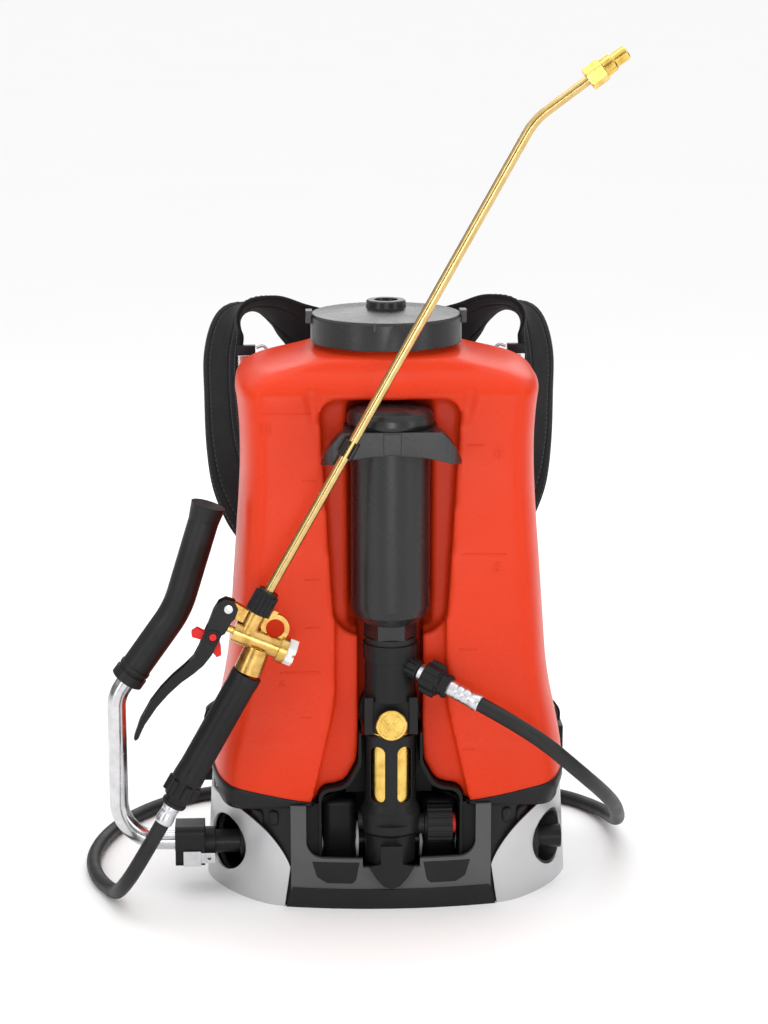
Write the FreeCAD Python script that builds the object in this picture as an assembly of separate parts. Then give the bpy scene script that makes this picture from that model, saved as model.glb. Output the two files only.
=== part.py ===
"""Knapsack pump sprayer with an outside piston pump, in millimetres.

+X is to the right as one faces the pump, +Y points to the wearer's back and +Z is up.
The origin is the centre of the base's flat underside. Each function returns one named
sub-part, and main() writes each of them to parts/NAME.step.
"""
import FreeCAD, Part
import math
import os

V = FreeCAD.Vector
X_AXIS, Y_AXIS, Z_AXIS = V(1, 0, 0), V(0, 1, 0), V(0, 0, 1)

# ---------------------------------------------------------------- driving dimensions
RUNNING = 0.05                      # radial clearance of a moving pin or rod
FREE = 0.3                          # gap between pieces that move past each other

# base
BASE_HALF_WIDTH = 156.0
BASE_FRONT, BASE_BACK = -103.0, 96.0
BASE_TOP = 88.0
PANEL_TOP = 79.0
FLOOR_THICK = 4.0
BAR_TOP = 43.0                      # top of the low front bar
BAY_HALF = 71.0                     # half width of the open bay in front
FRAME_HALF = 84.0                   # half width of the front frame
FOOT_STRIP_TOP = 17.0

# tank
TANK_BOTTOM = 88.0
WALL = 3.0
NECK_RADIUS, NECK_BORE = 54.0, 50.0
NECK_TOP = 474.0
LOBE_FLAT = 22.0                    # how far the flat front stops short of the side

# cap
CAP_RADIUS = 63.3
CAP_BOTTOM, CAP_RIM, CAP_TOP = 466.0, 489.0, 500.0

# pump, on a vertical axis at x = 0
PUMP_Y = -78.0
CYLINDER_RADIUS, CYLINDER_BORE = 18.8, 16.5
CYLINDER_LOW, CYLINDER_HIGH = 86.0, 150.0
HOUSING_RADIUS, HOUSING_BORE = 21.5, 18.9
HOUSING_LOW = 36.0
HEAD_RADIUS = 21.5
HEAD_LOW, HEAD_HIGH = 150.4, 226.0
INLET_Z = 160.5                     # height of the suction passage
VESSEL_RADIUS, VESSEL_WALL = 32.5, 3.0
VESSEL_LOW, VESSEL_HIGH = 243.0, 410.0

# lever drive, on a cross shaft along X
SHAFT_Y, SHAFT_Z = -45.0, 41.0
SHAFT_RADIUS, SHAFT_BORE = 10.0, 7.0
SHAFT_HALF = 148.0
CRANK = 36.0                        # crank radius
CRANK_REST = math.radians(-37.5)    # crank angle at rest, below the horizontal
PIN_RADIUS = 4.0
SOCKET_RADIUS = 24.0                # the opening in each side panel
LEVER_TUBE = 8.0
LEVER_X = -229.5

# spray gun, in a plane that faces forward
GUN_Y = -122.0
GUN_LEAN = math.radians(29.2)       # lean of its axis from the vertical
GRIP_TOP = V(-118.4, GUN_Y, 212.6)  # where the hand grip's axis meets the valve body
TUBE_OFFSET = 17.5                  # spray tube axis from the grip axis
TUBE_RADIUS = 4.0
TUBE_BEND = 499.3                   # from GRIP_TOP, along the lean, to the tube's bend
NOZZLE_LEAN = math.radians(53.6)
NOZZLE_RUN = 60.0
TRIGGER_PIVOT = (42.0, 39.6)
LOCK_PIVOT = (15.5, 39.6)
BARREL_FOOT, BARREL_HEAD = (26.9, 27.0), (32.0, -18.3)

# hose
HOSE_RADIUS = 6.25
OUTLET_START = V(14.0, -88.0, 208.0)
OUTLET_WAY = V(0.829, -0.425, -0.364).normalize()
FERRULE_END = 70.0                  # from OUTLET_START to where the hose shows
GUN_FERRULE_END = 145.0             # from GRIP_TOP, down the lean


# ---------------------------------------------------------------- helpers
def box(x0, x1, y0, y1, z0, z1):
    return Part.makeBox(x1 - x0, y1 - y0, z1 - z0, V(x0, y0, z0))


def rod(start, end, radius):
    """A cylinder from one point to another."""
    way = end - start
    return Part.makeCylinder(radius, way.Length, start, way)


def pipe(start, end, outer, inner):
    way = (end - start).normalize()
    return rod(start, end, outer).cut(rod(start - way, end + way, inner))


def taper(start, end, r0, r1):
    way = end - start
    return Part.makeCone(r0, r1, way.Length, start, way)


def fuse(*shapes):
    whole = shapes[0]
    for shape in shapes[1:]:
        whole = whole.fuse(shape)
    return whole.removeSplitter()


def prism(points, way):
    """A closed polygon of points, swept along a vector."""
    return Part.Face(Part.makePolygon(points + points[:1])).extrude(way)


def front_prism(outline, y0, y1):
    """An outline of (x, z) points, swept from y0 to y1."""
    return prism([V(x, y0, z) for x, z in outline], V(0, y1 - y0, 0))


def turned(profile, foot, way):
    """A solid of revolution: profile is (radius, height) points, along way from foot."""
    face = Part.Face(Part.makePolygon([V(r, 0, h) for r, h in profile + profile[:1]]))
    solid = face.revolve(V(0, 0, 0), Z_AXIS, 360)
    solid.Placement = FreeCAD.Placement(foot, FreeCAD.Rotation(Z_AXIS, way))
    return solid


def hexagon(start, end, across_flats):
    """A hexagonal bar between two points."""
    way = end - start
    corner = across_flats / math.sqrt(3)
    points = [V(corner * math.cos(a), corner * math.sin(a), 0)
              for a in (math.radians(60 * k) for k in range(6))]
    bar = prism(points, V(0, 0, way.Length))
    bar.Placement = FreeCAD.Placement(start, FreeCAD.Rotation(Z_AXIS, way))
    return bar


def ribbed(start, end, radius, ribs, depth):
    """A round nut with grooves along it for grip."""
    way = end - start
    body = Part.makeCylinder(radius, way.Length)
    for k in range(ribs):
        a = 2 * math.pi * k / ribs
        foot = V(radius * math.cos(a), radius * math.sin(a), -1)
        body = body.cut(Part.makeCylinder(depth, way.Length + 2, foot))
    body.Placement = FreeCAD.Placement(start, FreeCAD.Rotation(Z_AXIS, way))
    return body


def mirrored(shape):
    """The same piece on the other side of the middle."""
    return shape.mirror(V(0, 0, 0), X_AXIS)


def bent_path(points, radii=None):
    """A wire of straight runs joined by tangent arcs, and the arcs' radii.

    With no radii given, each arc is as large as its two runs allow.
    """
    edges, made, start = [], [], points[0]
    for k in range(1, len(points) - 1):
        a, b, c = points[k - 1], points[k], points[k + 1]
        into, out = (b - a), (c - b)
        turn = into.getAngle(out)
        if radii:
            radius = radii[k - 1]
        else:
            radius = 0.45 * min(into.Length, out.Length) / math.tan(turn / 2)
        reach = radius * math.tan(turn / 2)
        into.normalize()
        out.normalize()
        first, last = b - into * reach, b + out * reach
        inward = (out - into).normalize()
        middle = b + inward * (radius / math.cos(turn / 2) - radius)
        edges.append(Part.LineSegment(start, first).toShape())
        edges.append(Part.Arc(first, middle, last).toShape())
        made.append(radius)
        start = last
    edges.append(Part.LineSegment(start, points[-1]).toShape())
    return Part.Wire(edges), made


def bent_tube(points, radius, radii=None):
    """A round bar along a bent path."""
    path, made = bent_path(points, radii)
    way = points[1] - points[0]
    ring = Part.Wire(Part.makeCircle(radius, points[0], way))
    solid = path.makePipeShell([ring], True, False)
    length = path.Length
    error = solid.Volume / (math.pi * radius ** 2 * length) - 1
    return solid, length, made, error


# ---------------------------------------------------------------- base
def footprint(scale, z):
    """The base's outline from above, closed, at one height."""
    front_x, front_y = 91.0, -93.5
    side_front, side_back = -3.0, 45.0
    back_x = 96.0
    tangent = (0.978, 0.206)

    def p(x, y):
        return V(x * scale, y * scale, z)

    def corner(*poles):
        curve = Part.BezierCurve()
        curve.setPoles([p(*pole) for pole in poles])
        return curve.toShape()

    wide = BASE_HALF_WIDTH
    right_front = [(front_x, front_y), (front_x + 25 * tangent[0], front_y + 25 * tangent[1]),
                   (wide, side_front - 35), (wide, side_front)]
    right_back = [(wide, side_back), (wide, BASE_BACK - 14),
                  (back_x + 38, BASE_BACK), (back_x, BASE_BACK)]

    def flip(poles):
        return [(-x, y) for x, y in reversed(poles)]

    edges = [
        Part.Arc(p(-front_x, front_y), p(0, BASE_FRONT), p(front_x, front_y)).toShape(),
        corner(*right_front),
        Part.LineSegment(p(wide, side_front), p(wide, side_back)).toShape(),
        corner(*right_back),
        Part.LineSegment(p(back_x, BASE_BACK), p(-back_x, BASE_BACK)).toShape(),
        corner(*flip(right_back)),
        Part.LineSegment(p(-wide, side_back), p(-wide, side_front)).toShape(),
        corner(*flip(right_front)),
    ]
    return Part.Wire(edges)


def base_block(low_scale, high_scale, z0, z1):
    """The volume inside the base's outline between two heights."""
    return Part.makeLoft([footprint(low_scale, z0), footprint(high_scale, z1)], True, True)


def side_sockets(radius):
    """A cutter for the round openings in both sides, on the lever shaft's axis."""
    end = BASE_HALF_WIDTH + 10
    inner = 100.0
    right = rod(V(inner, SHAFT_Y, SHAFT_Z), V(end, SHAFT_Y, SHAFT_Z), radius)
    return right.fuse(mirrored(right))


PUMP_NOTCH = (-24.0, 24.0)


def pump_notch():
    """The gap in the front bar that the foot of the pump stands in."""
    return box(*PUMP_NOTCH, BASE_FRONT - 3, -60, HOUSING_LOW - FREE, BAR_TOP + 5)


def bay_opening():
    """The open bay in the base's front, with rounded lower corners."""
    corner, y0, y1 = 14.0, BASE_FRONT - 5, -60.0
    high = BASE_TOP + 20
    upper = box(-BAY_HALF, BAY_HALF, y0, y1, BAR_TOP + corner, high)
    lower = box(corner - BAY_HALF, BAY_HALF - corner, y0, y1, BAR_TOP, high)
    right = rod(V(BAY_HALF - corner, y0, BAR_TOP + corner),
                V(BAY_HALF - corner, y1, BAR_TOP + corner), corner)
    return fuse(upper, lower, right, mirrored(right))


def base_shell():
    """The black moulding: floor, walls and the ledge under the tank."""
    outer = base_block(0.975, 0.93, 0, BASE_TOP)
    inner = base_block(0.95, 0.905, FLOOR_THICK, BASE_TOP + 4)
    shell = outer.cut(inner).fuse(foot_strip())
    shell = shell.cut(bay_opening()).cut(pump_notch()).cut(side_sockets(SOCKET_RADIUS))
    hook = strap_hook()
    shell = shell.fuse(hook).fuse(mirrored(hook)).removeSplitter()
    for x in SCREW_X:
        for y in SCREW_Y:
            shell = shell.cut(rod(V(x, y, -1), V(x, y, 10), SCREW_RADIUS + RUNNING))
            shell = shell.cut(rod(V(x, y, -1), V(x, y, 2.2), SCREW_HEAD + FREE))
    return shell


SCREW_X, SCREW_Y = (-44.0, 44.0), (-52.0, -34.0)
SCREW_RADIUS, SCREW_HEAD = 2.0, 4.0


def base_screws():
    """Four screws that hold the two bearing towers from below."""
    screws = []
    for x in SCREW_X:
        for y in SCREW_Y:
            head = rod(V(x, y, 0.5), V(x, y, 2.1), SCREW_HEAD)
            slot = box(x - 3, x + 3, y - 0.5, y + 0.5, 0, 1.3)
            screws.append(fuse(head, rod(V(x, y, 2), V(x, y, 16), SCREW_RADIUS)).cut(slot))
    return Part.makeCompound(screws)


def front_frame():
    """The grey frame round the bay: two pillars and the bar between them."""
    ring = base_block(1.0, 0.975, 0, BASE_TOP).cut(base_block(0.976, 0.931, -1, BASE_TOP + 1))
    front = ring.common(box(-FRAME_HALF, FRAME_HALF, BASE_FRONT - 5, -70, 1.6, BASE_TOP))
    front = front.cut(bay_opening()).cut(pump_notch())
    for pad in pad_blocks(FREE / 3):
        front = front.cut(pad)
    return front


def pad_blocks(growth):
    """The two buffer pads let into the front bar."""
    pads = []
    for side in (-1, 1):
        low, high = 22.0 - growth, 40.0 + growth
        inner, outer = 27.0 - growth, 66.0 + growth
        outline = [(side * inner, high), (side * (inner + 3), low + 3), (side * (inner + 6), low),
                   (side * (outer - 12), low), (side * (outer - 4), low + 5), (side * outer, high)]
        block = front_prism(outline, BASE_FRONT - 2, -90)
        pads.append(block.common(base_block(1.003, 0.98, 0, BASE_TOP))
                    .cut(base_block(0.982, 0.95, -1, BASE_TOP + 1)))
    return pads


def buffer_pads():
    return Part.makeCompound(pad_blocks(0))


def foot_strip():
    """The dark skid along the bottom of the front."""
    ring = base_block(1.012, 1.008, 0, FOOT_STRIP_TOP)
    ring = ring.cut(base_block(1.0005, 0.996, -1, FOOT_STRIP_TOP + 1))
    sole = base_block(1.004, 1.004, 0, 1.5).cut(base_block(0.96, 0.96, -1, 3))
    outline = [(-88, 0), (88, 0), (83, FOOT_STRIP_TOP), (-83, FOOT_STRIP_TOP)]
    return ring.fuse(sole).common(front_prism(outline, BASE_FRONT - 6, -80))


def side_panel():
    """The right silver side panel, with the round opening for a lever."""
    skin = base_block(1.0, 0.972, 0, PANEL_TOP).cut(base_block(0.987, 0.958, -1, PANEL_TOP + 1))
    inner = FRAME_HALF + 0.4
    arc = Part.Arc(V(inner, 0, 34), V(107, 0, 65), V(150, 0, PANEL_TOP)).toShape()
    high = PANEL_TOP + 1
    lines = [V(150, 0, PANEL_TOP), V(170, 0, high), V(170, 0, 0), V(inner + 5, 0, 0),
             V(inner, 0, 34)]
    edges = [arc] + [Part.LineSegment(a, b).toShape() for a, b in zip(lines, lines[1:])]
    under = Part.Face(Part.Wire(edges))
    under.translate(V(0, -130, 0))
    skin = skin.common(under.extrude(V(0, 190, 0)))
    return skin.cut(side_sockets(SOCKET_RADIUS))


def socket_ring():
    """The black lining of the right-hand opening, with its locating ribs."""
    ring = pipe(V(126, SHAFT_Y, SHAFT_Z), V(150, SHAFT_Y, SHAFT_Z),
                SOCKET_RADIUS - 0.4, SOCKET_RADIUS - 2.4)
    ring = ring.common(base_block(0.9935, 0.965, 0, PANEL_TOP))
    back = pipe(V(112, SHAFT_Y, SHAFT_Z), V(115, SHAFT_Y, SHAFT_Z), SOCKET_RADIUS - 0.4, 13.0)
    sleeve = pipe(V(112, SHAFT_Y, SHAFT_Z), V(127, SHAFT_Y, SHAFT_Z),
                  SOCKET_RADIUS - 0.4, SOCKET_RADIUS - 2.4)
    whole = fuse(ring, back, sleeve)
    for k in range(6):
        rib = box(112, 128, -1, 1, 17.0, 22.5)
        rib.rotate(V(0, 0, 0), X_AXIS, 60 * k + 30)
        rib.translate(V(0, SHAFT_Y, SHAFT_Z))
        whole = whole.fuse(rib)
    return whole.removeSplitter()


TOWER = (28.0, 57.0, -62.0, -24.0, FLOOR_THICK, 82.0)
BUSH_RADIUS = 13.0


def bearing_towers():
    """The two towers in the bay, which hold the shaft's bushes."""
    x0, x1, y0, y1, z0, z1 = TOWER
    block = box(x0, x1, y0, y1, z0, z1)
    block = block.makeFillet(7, [e for e in block.Edges if abs(e.tangentAt(0).z) > 0.9])
    block = block.makeFillet(5, [e for e in block.Edges
                                 if e.BoundBox.ZMin > z1 - 0.1 and e.BoundBox.ZMax < z1 + 0.1])
    block = block.cut(rod(V(x0 - 1, SHAFT_Y, SHAFT_Z), V(x1 + 1, SHAFT_Y, SHAFT_Z), BUSH_RADIUS))
    for y in SCREW_Y:
        block = block.cut(rod(V(SCREW_X[1], y, 0), V(SCREW_X[1], y, 17), SCREW_RADIUS))
    return Part.makeCompound([block, mirrored(block)])


def shaft_bushes():
    """The two plain bearings of the shaft, flanged towards the middle."""
    x0, x1 = TOWER[0], TOWER[1]
    sleeve = pipe(V(x0 - 2, SHAFT_Y, SHAFT_Z), V(x1, SHAFT_Y, SHAFT_Z),
                  BUSH_RADIUS, SHAFT_RADIUS + RUNNING)
    flange = pipe(V(x0 - 2, SHAFT_Y, SHAFT_Z), V(x0, SHAFT_Y, SHAFT_Z),
                  BUSH_RADIUS + 3, SHAFT_RADIUS + RUNNING)
    bush = sleeve.fuse(flange).removeSplitter()
    return Part.makeCompound([bush, mirrored(bush)])


ARCH = [(61, 100), (38, 104), (27.5, 124), (27, 150)]
ARCH_RADII = [1, 9, 16, 12, 1]


def arch_corners(shrink, foot=60.0):
    """The arch over the pump's foot: (x, z) corners from the right foot to the left."""
    right = [(61 - shrink, foot)] + [(x - shrink, z - shrink) for x, z in ARCH]
    return right + [(-x, z) for x, z in reversed(right)]


def arch_prism(shrink, foot, y0, y1):
    """The arch's outline made smaller by shrink, swept from y0 to y1."""
    radii = ARCH_RADII + ARCH_RADII[::-1]
    return rounded_prism(arch_corners(shrink, foot), radii, y0, y1)


def bay_liner():
    """The black tunnel behind the pump's foot, which closes the bay against the tank."""
    gap, thick = 0.6, 2.4
    outer = arch_prism(gap, FLOOR_THICK, -88, -18)
    inner = arch_prism(gap + thick, FLOOR_THICK - 1, -90, -20.5)
    liner = outer.cut(inner)
    keep = box(-70, 70, -95, -10, FLOOR_THICK, TANK_BOTTOM - 0.5)
    high = box(-70, 70, -95, -48.8, TANK_BOTTOM - 1, 160)
    liner = liner.common(keep.fuse(high)).cut(box(-24.4, 24.4, -95, -40, 134, 160))
    shelf = arch_prism(gap, 85, -51.2, -48.8).common(box(-70, 70, -60, -40, 80, 134))
    lid = box(-60.4, 60.4, -51.2, -18, TANK_BOTTOM - 2.9, TANK_BOTTOM - 0.5)
    liner = fuse(liner, shelf, lid)
    cross = rod(V(-80, SHAFT_Y, SHAFT_Z), V(80, SHAFT_Y, SHAFT_Z), BUSH_RADIUS + 3)
    seat = rod(V(0, -62, INLET_Z), V(0, -44, INLET_Z), 25.5 + FREE)
    return liner.cut(cross).cut(seat).removeSplitter()


# ---------------------------------------------------------------- tank
# height, half width, front and back of the tank's outline
TANK_SECTIONS = [
    (TANK_BOTTOM, 145.0, -89.0, 84.0),
    (101.0, 149.0, -92.0, 87.0),
    (167.0, 140.5, -90.0, 86.0),
    (222.0, 133.5, -87.0, 84.0),
    (322.0, 126.0, -83.0, 81.0),
    (404.0, 124.0, -80.0, 79.0),
    (431.0, 127.0, -80.5, 79.5),
    (441.0, 123.0, -77.0, 76.0),
    (448.0, 113.0, -71.0, 70.0),
    (454.0, 92.0, -66.0, 66.0),
    (461.0, 66.0, -60.0, 60.0),
]
SHOULDER = 6                        # index of the section where the shoulder starts


def tank_section(z, half, front, back, inset):
    """One rounded outline of the tank, moved inwards by inset."""
    half, front, back = half - inset, front + inset, back - inset
    flat = max(half - LOBE_FLAT - inset / 2, 20)
    deep = back - front

    def p(x, y):
        return V(x, y, z)

    def corner(*poles):
        curve = Part.BezierCurve()
        curve.setPoles([p(*pole) for pole in poles])
        return curve.toShape()

    front_corner = [(flat, front), (flat + 0.62 * (half - flat), front + 2),
                    (half - 2, front + 0.16 * deep), (half, front + 0.42 * deep)]
    back_corner = [(half, back - 0.34 * deep), (half, back - 0.1 * deep),
                   (half - 0.08 * deep, back), (half - 0.36 * deep, back)]
    chain = [
        Part.LineSegment(p(-flat, front), p(flat, front)).toShape(),
        corner(*front_corner),
        Part.LineSegment(p(*front_corner[-1]), p(*back_corner[0])).toShape(),
        corner(*back_corner),
        Part.LineSegment(p(*back_corner[-1]), p(-back_corner[-1][0], back)).toShape(),
        corner(*[(-x, y) for x, y in reversed(back_corner)]),
        Part.LineSegment(p(-half, back_corner[0][1]), p(-half, front_corner[-1][1])).toShape(),
        corner(*[(-x, y) for x, y in reversed(front_corner)]),
    ]
    return Part.Wire(chain)


def tank_block(inset):
    """The tank's volume with no recess, moved inwards by inset."""
    rows = [(z + (inset if k == 0 else -inset if k >= SHOULDER else 0), h, f, b)
            for k, (z, h, f, b) in enumerate(TANK_SECTIONS)]
    body = Part.makeLoft([tank_section(*row, inset) for row in rows[:SHOULDER + 1]], True, False)
    top = Part.makeLoft([tank_section(*row, inset) for row in rows[SHOULDER:]], True, False)
    rings = [(-26, 57, 396), (-25, 59, 424), (-20, 60, 440), (-9, 58.5, 452), (0, 57, 463)]
    wires = [Part.Wire(Part.makeCircle(r - inset, V(0, y, z - (inset if z > 430 else 0)), Z_AXIS))
             for y, r, z in rings]
    column = Part.makeLoft(wires, True, False)
    return fuse(body, top, column)


def rounded_prism(corners, radii, y0, y1):
    """An outline of (x, z) corners rounded by the radii, swept from y0 to y1."""
    points = [V(x, y0, z) for x, z in corners]
    start = (points[0] + points[-1]) / 2
    wire = bent_path([start] + points + [start], radii)[0]
    return Part.Face(wire).extrude(V(0, y1 - y0, 0))


def valley(side):
    """The crease between a lobe and the middle column, less deep than the wall is thick."""
    deep, radius = 0.4, 16.0
    high = V(side * 66, -77.5 - radius + deep, 462)
    low = V(side * 53, -84.5 - radius, 300)
    return rod(low, high, radius)


def pump_recess(growth):
    """Everything that is hollowed out of the tank's front for the pump."""
    g = growth
    well = rod(V(0, PUMP_Y, 236 - g), V(0, PUMP_Y, 427.5 + g), 37.5 + g)
    pocket = rounded_prism([(-58 - g, 429 + g), (-46 - g, 231 - g), (46 + g, 231 - g),
                            (58 + g, 429 + g)], [14 + g, 24 + g, 24 + g, 14 + g], -100, -67 + g)
    seat = box(-27 - g, 27 + g, -100, -48.5 + g, 96 - g, 250)
    bell = rounded_prism([(-46 - g, 262), (-46 - g, 176), (-68 - g, 80 - g), (68 + g, 80 - g),
                          (46 + g, 176), (46 + g, 262)], [4, 120, 2, 2, 120, 4], -100, -78.2 + g)
    arch = arch_prism(-g, 60, -100, -48.5 + g)
    return [well, pocket, seat, bell, arch]


def tank():
    """The blow-moulded tank: hollow, with the neck and the seat of the suction port."""
    outer, inner = tank_block(0), tank_block(WALL)
    for shape in pump_recess(0) + [valley(-1), valley(1)]:
        outer = outer.cut(shape)
    for shape in pump_recess(WALL):
        inner = inner.cut(shape)
    neck = rod(V(0, 0, 455), V(0, 0, NECK_TOP), NECK_RADIUS)
    stop = rod(V(0, 0, 458), V(0, 0, 463.5), NECK_RADIUS + 4.5)
    whole = fuse(outer, stop, neck)
    for z in (466.2, 469.6):
        ridge = [(NECK_RADIUS - 1, z), (NECK_RADIUS + 1.6, z + 0.8), (NECK_RADIUS + 1.6, z + 1.4),
                 (NECK_RADIUS - 1, z + 2.2)]
        whole = whole.fuse(turned(ridge, V(0, 0, 0), Z_AXIS))
    whole = whole.cut(inner).cut(rod(V(0, 0, 440), V(0, 0, NECK_TOP + 1), NECK_BORE))
    port = rod(V(0, -50, INLET_Z), V(0, -30, INLET_Z), PORT_RADIUS)
    return whole.cut(port).cut(anchor_holes(77.2))


PORT_RADIUS = 11.0


def cap():
    """The screw cap's shell, with grip lugs, finger notches and the air boss."""
    skirt_in, plate = 58.2, 486.0
    shell = turned([(skirt_in, CAP_BOTTOM), (CAP_RADIUS, CAP_BOTTOM), (CAP_RADIUS, CAP_RIM - 2),
                    (CAP_RADIUS - 1.6, CAP_RIM), (CAP_RADIUS - 5, CAP_RIM + 0.4), (17, 494),
                    (16.5, CAP_TOP - 1), (15.5, CAP_TOP), (10, CAP_TOP), (9, 495.5), (3.0, 495.5),
                    (3.0, 492), (15, 492), (15, plate + 3), (49, plate), (49, 477.6), (57, 477.6),
                    (57, plate - 1), (skirt_in, plate - 1)], V(0, 0, 0), Z_AXIS)
    for side in (-1, 1):
        lug = box(0, 5.5, -7, 7, 481, 491.5)
        lug.translate(V(CAP_RADIUS - 1.5, 0, 0))
        shell = shell.fuse(lug if side > 0 else mirrored(lug))
        for x in (-12.0, 12.0):
            notch = box(x - 1, x + 1, -4, 4, CAP_RIM - 8, CAP_RIM + 2)
            notch.translate(V(0, side * (CAP_RADIUS + 1.2), 0))
            shell = shell.cut(notch)
    return shell.removeSplitter()


def cap_seal():
    return pipe(V(0, 0, 475.6), V(0, 0, 477.5), 56.5, 50.5)


def vent_flap():
    """The rubber flap valve under the cap's air holes, held by its own stem."""
    disc = rod(V(0, 0, 489.8), V(0, 0, 491.9), 11.0)
    return disc.fuse(rod(V(0, 0, 491), V(0, 0, 495.4), 2.8)).removeSplitter()


def filler_strainer():
    """The basket strainer that hangs in the neck."""
    rim = pipe(V(0, 0, NECK_TOP + 0.1), V(0, 0, NECK_TOP + 1.5), 53.5, 45)
    wall = pipe(V(0, 0, 432), V(0, 0, NECK_TOP + 0.5), 46.2, 45)
    floor = rod(V(0, 0, 432), V(0, 0, 433.2), 46.2)
    basket = fuse(rim, wall, floor)
    for k in range(18):
        slot = box(40, 50, -3, 3, 438, 466)
        slot.rotate(V(0, 0, 0), Z_AXIS, 20 * k)
        basket = basket.cut(slot)
    for k in range(-3, 4):
        half = math.sqrt(42 ** 2 - (12 * k) ** 2)
        basket = basket.cut(box(12 * k - 3, 12 * k + 3, -half, half, 431, 435))
    return basket


# ---------------------------------------------------------------- pump
def pump_point(z, x=0.0):
    return V(x, PUMP_Y, z)


def pump_housing():
    """The sleeve round the pump cylinder, with two sight slots and a foot in the base."""
    shell = rod(pump_point(HOUSING_LOW), pump_point(148), HOUSING_RADIUS - 0.5)
    bulge = turned([(0, 60), (20.5, 60), (25, 64), (25, 80), (21.5, 88), (0, 88)],
                   pump_point(0), Z_AXIS)
    upper = rod(pump_point(86), pump_point(148), HOUSING_RADIUS)
    boss = rod(pump_point(66, 19.2), pump_point(66, 28.6), 9.0)
    left_boss = rod(pump_point(70, -15), pump_point(70, -27.0), 8.0)
    shell = fuse(shell, bulge, upper, boss, left_boss)
    shell = shell.cut(rod(pump_point(HOUSING_LOW - 1), pump_point(149), HOUSING_BORE))
    shell = shell.cut(box(-18.2, 18.2, PUMP_Y, -50, HOUSING_LOW - 1, 84))
    shell = shell.cut(rod(pump_point(66, 20), pump_point(66, 30), KNOB_STEM + RUNNING))
    for x in (-11.0, 11.0):
        slot = fuse(box(x - 5.8, x + 5.8, -105, -85, 96, 134),
                    rod(V(x, -105, 96), V(x, -85, 96), 5.8),
                    rod(V(x, -105, 134), V(x, -85, 134), 5.8))
        shell = shell.cut(slot)
    window = box(-13.5, 13.5, PUMP_Y - 27, PUMP_Y - 20.4, 71, 82)
    return fuse(shell.cut(window), foot_tongue())


def foot_tongue():
    """The tongue on the sleeve that hooks over the bar of the base."""
    outline = [(-9, 56), (9, 56), (9, 40), (19, 38), (13, 28), (7, 21), (0, 18.5),
               (-7, 21), (-13, 28), (-19, 38), (-9, 40)]
    plate = front_prism(outline, -107.0, -103.6)
    return plate.fuse(box(-8.5, 8.5, -104, PUMP_Y - 19.5, 45, 55))


def pump_cylinder():
    """The brass cylinder that shows through the sleeve's slots."""
    return pipe(pump_point(CYLINDER_LOW), pump_point(CYLINDER_HIGH), CYLINDER_RADIUS, CYLINDER_BORE)


PISTON_LOW = 90.0
YOKE_Z = SHAFT_Z + CRANK * math.sin(CRANK_REST)


def piston():
    low = PISTON_LOW
    return turned([(0, low), (CYLINDER_BORE - 0.4, low), (CYLINDER_BORE - 0.4, low + 2.5),
                   (13.5, low + 2.5), (13.5, low + 7.5), (CYLINDER_BORE - 0.4, low + 7.5),
                   (CYLINDER_BORE - 0.4, low + 10), (0, low + 10)], pump_point(0), Z_AXIS)


def piston_seal():
    return pipe(pump_point(PISTON_LOW + 2.6), pump_point(PISTON_LOW + 7.4),
                CYLINDER_BORE - 0.03, 13.55)


def piston_rod():
    """The rod below the piston, ending in a yoke that the crank pin runs in."""
    shank = rod(pump_point(YOKE_Z + 8), pump_point(PISTON_LOW), 6.0)
    yoke = box(-6, 6, PUMP_Y - 14, PUMP_Y + 12.5, YOKE_Z - 9, YOKE_Z + 9)
    yoke = yoke.makeFillet(2, [e for e in yoke.Edges if abs(e.tangentAt(0).x) > 0.9])
    half = PIN_RADIUS + 1.0
    slot = fuse(box(-7, 7, -83, -71, YOKE_Z - half, YOKE_Z + half),
                rod(V(-7, -83, YOKE_Z), V(7, -83, YOKE_Z), half),
                rod(V(-7, -71, YOKE_Z), V(7, -71, YOKE_Z), half))
    return fuse(shank, yoke).cut(slot)


def crank_point(x):
    return V(x, SHAFT_Y - CRANK * math.cos(CRANK_REST), YOKE_Z)


def crank_arm():
    """The forked arm on the shaft."""
    cheeks = []
    for x0, x1 in ((-15.0, -7.0), (7.0, 15.0)):
        hub = rod(V(x0, SHAFT_Y, SHAFT_Z), V(x1, SHAFT_Y, SHAFT_Z), 14.5)
        eye = rod(crank_point(x0), crank_point(x1), 8.0)
        way = crank_point(0) - V(0, SHAFT_Y, SHAFT_Z)
        side = V(0, -way.z, way.y).normalize()
        hubc, pin = V(x0, SHAFT_Y, SHAFT_Z), crank_point(x0)
        web = prism([hubc + side * 11, pin + side * 7.5, pin - side * 7.5, hubc - side * 11],
                    V(x1 - x0, 0, 0))
        cheeks.append(fuse(hub, eye, web))
    sleeve = rod(V(-15, SHAFT_Y, SHAFT_Z), V(15, SHAFT_Y, SHAFT_Z), 14.5)
    arm = fuse(*cheeks, sleeve)
    arm = arm.cut(rod(V(-16, SHAFT_Y, SHAFT_Z), V(16, SHAFT_Y, SHAFT_Z), SHAFT_RADIUS))
    return arm.cut(rod(crank_point(-16), crank_point(16), PIN_RADIUS))


def crank_pin():
    return rod(crank_point(-16), crank_point(16), PIN_RADIUS)


def lever_shaft():
    """The hollow cross shaft: the lever plugs into either end."""
    shaft = rod(V(-SHAFT_HALF, SHAFT_Y, SHAFT_Z), V(SHAFT_HALF, SHAFT_Y, SHAFT_Z), SHAFT_RADIUS)
    for side in (-1, 1):
        end = V(side * (SHAFT_HALF + 1), SHAFT_Y, SHAFT_Z)
        shaft = shaft.cut(rod(V(side * (SHAFT_HALF - 30), SHAFT_Y, SHAFT_Z), end, SHAFT_BORE))
    return shaft


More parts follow.
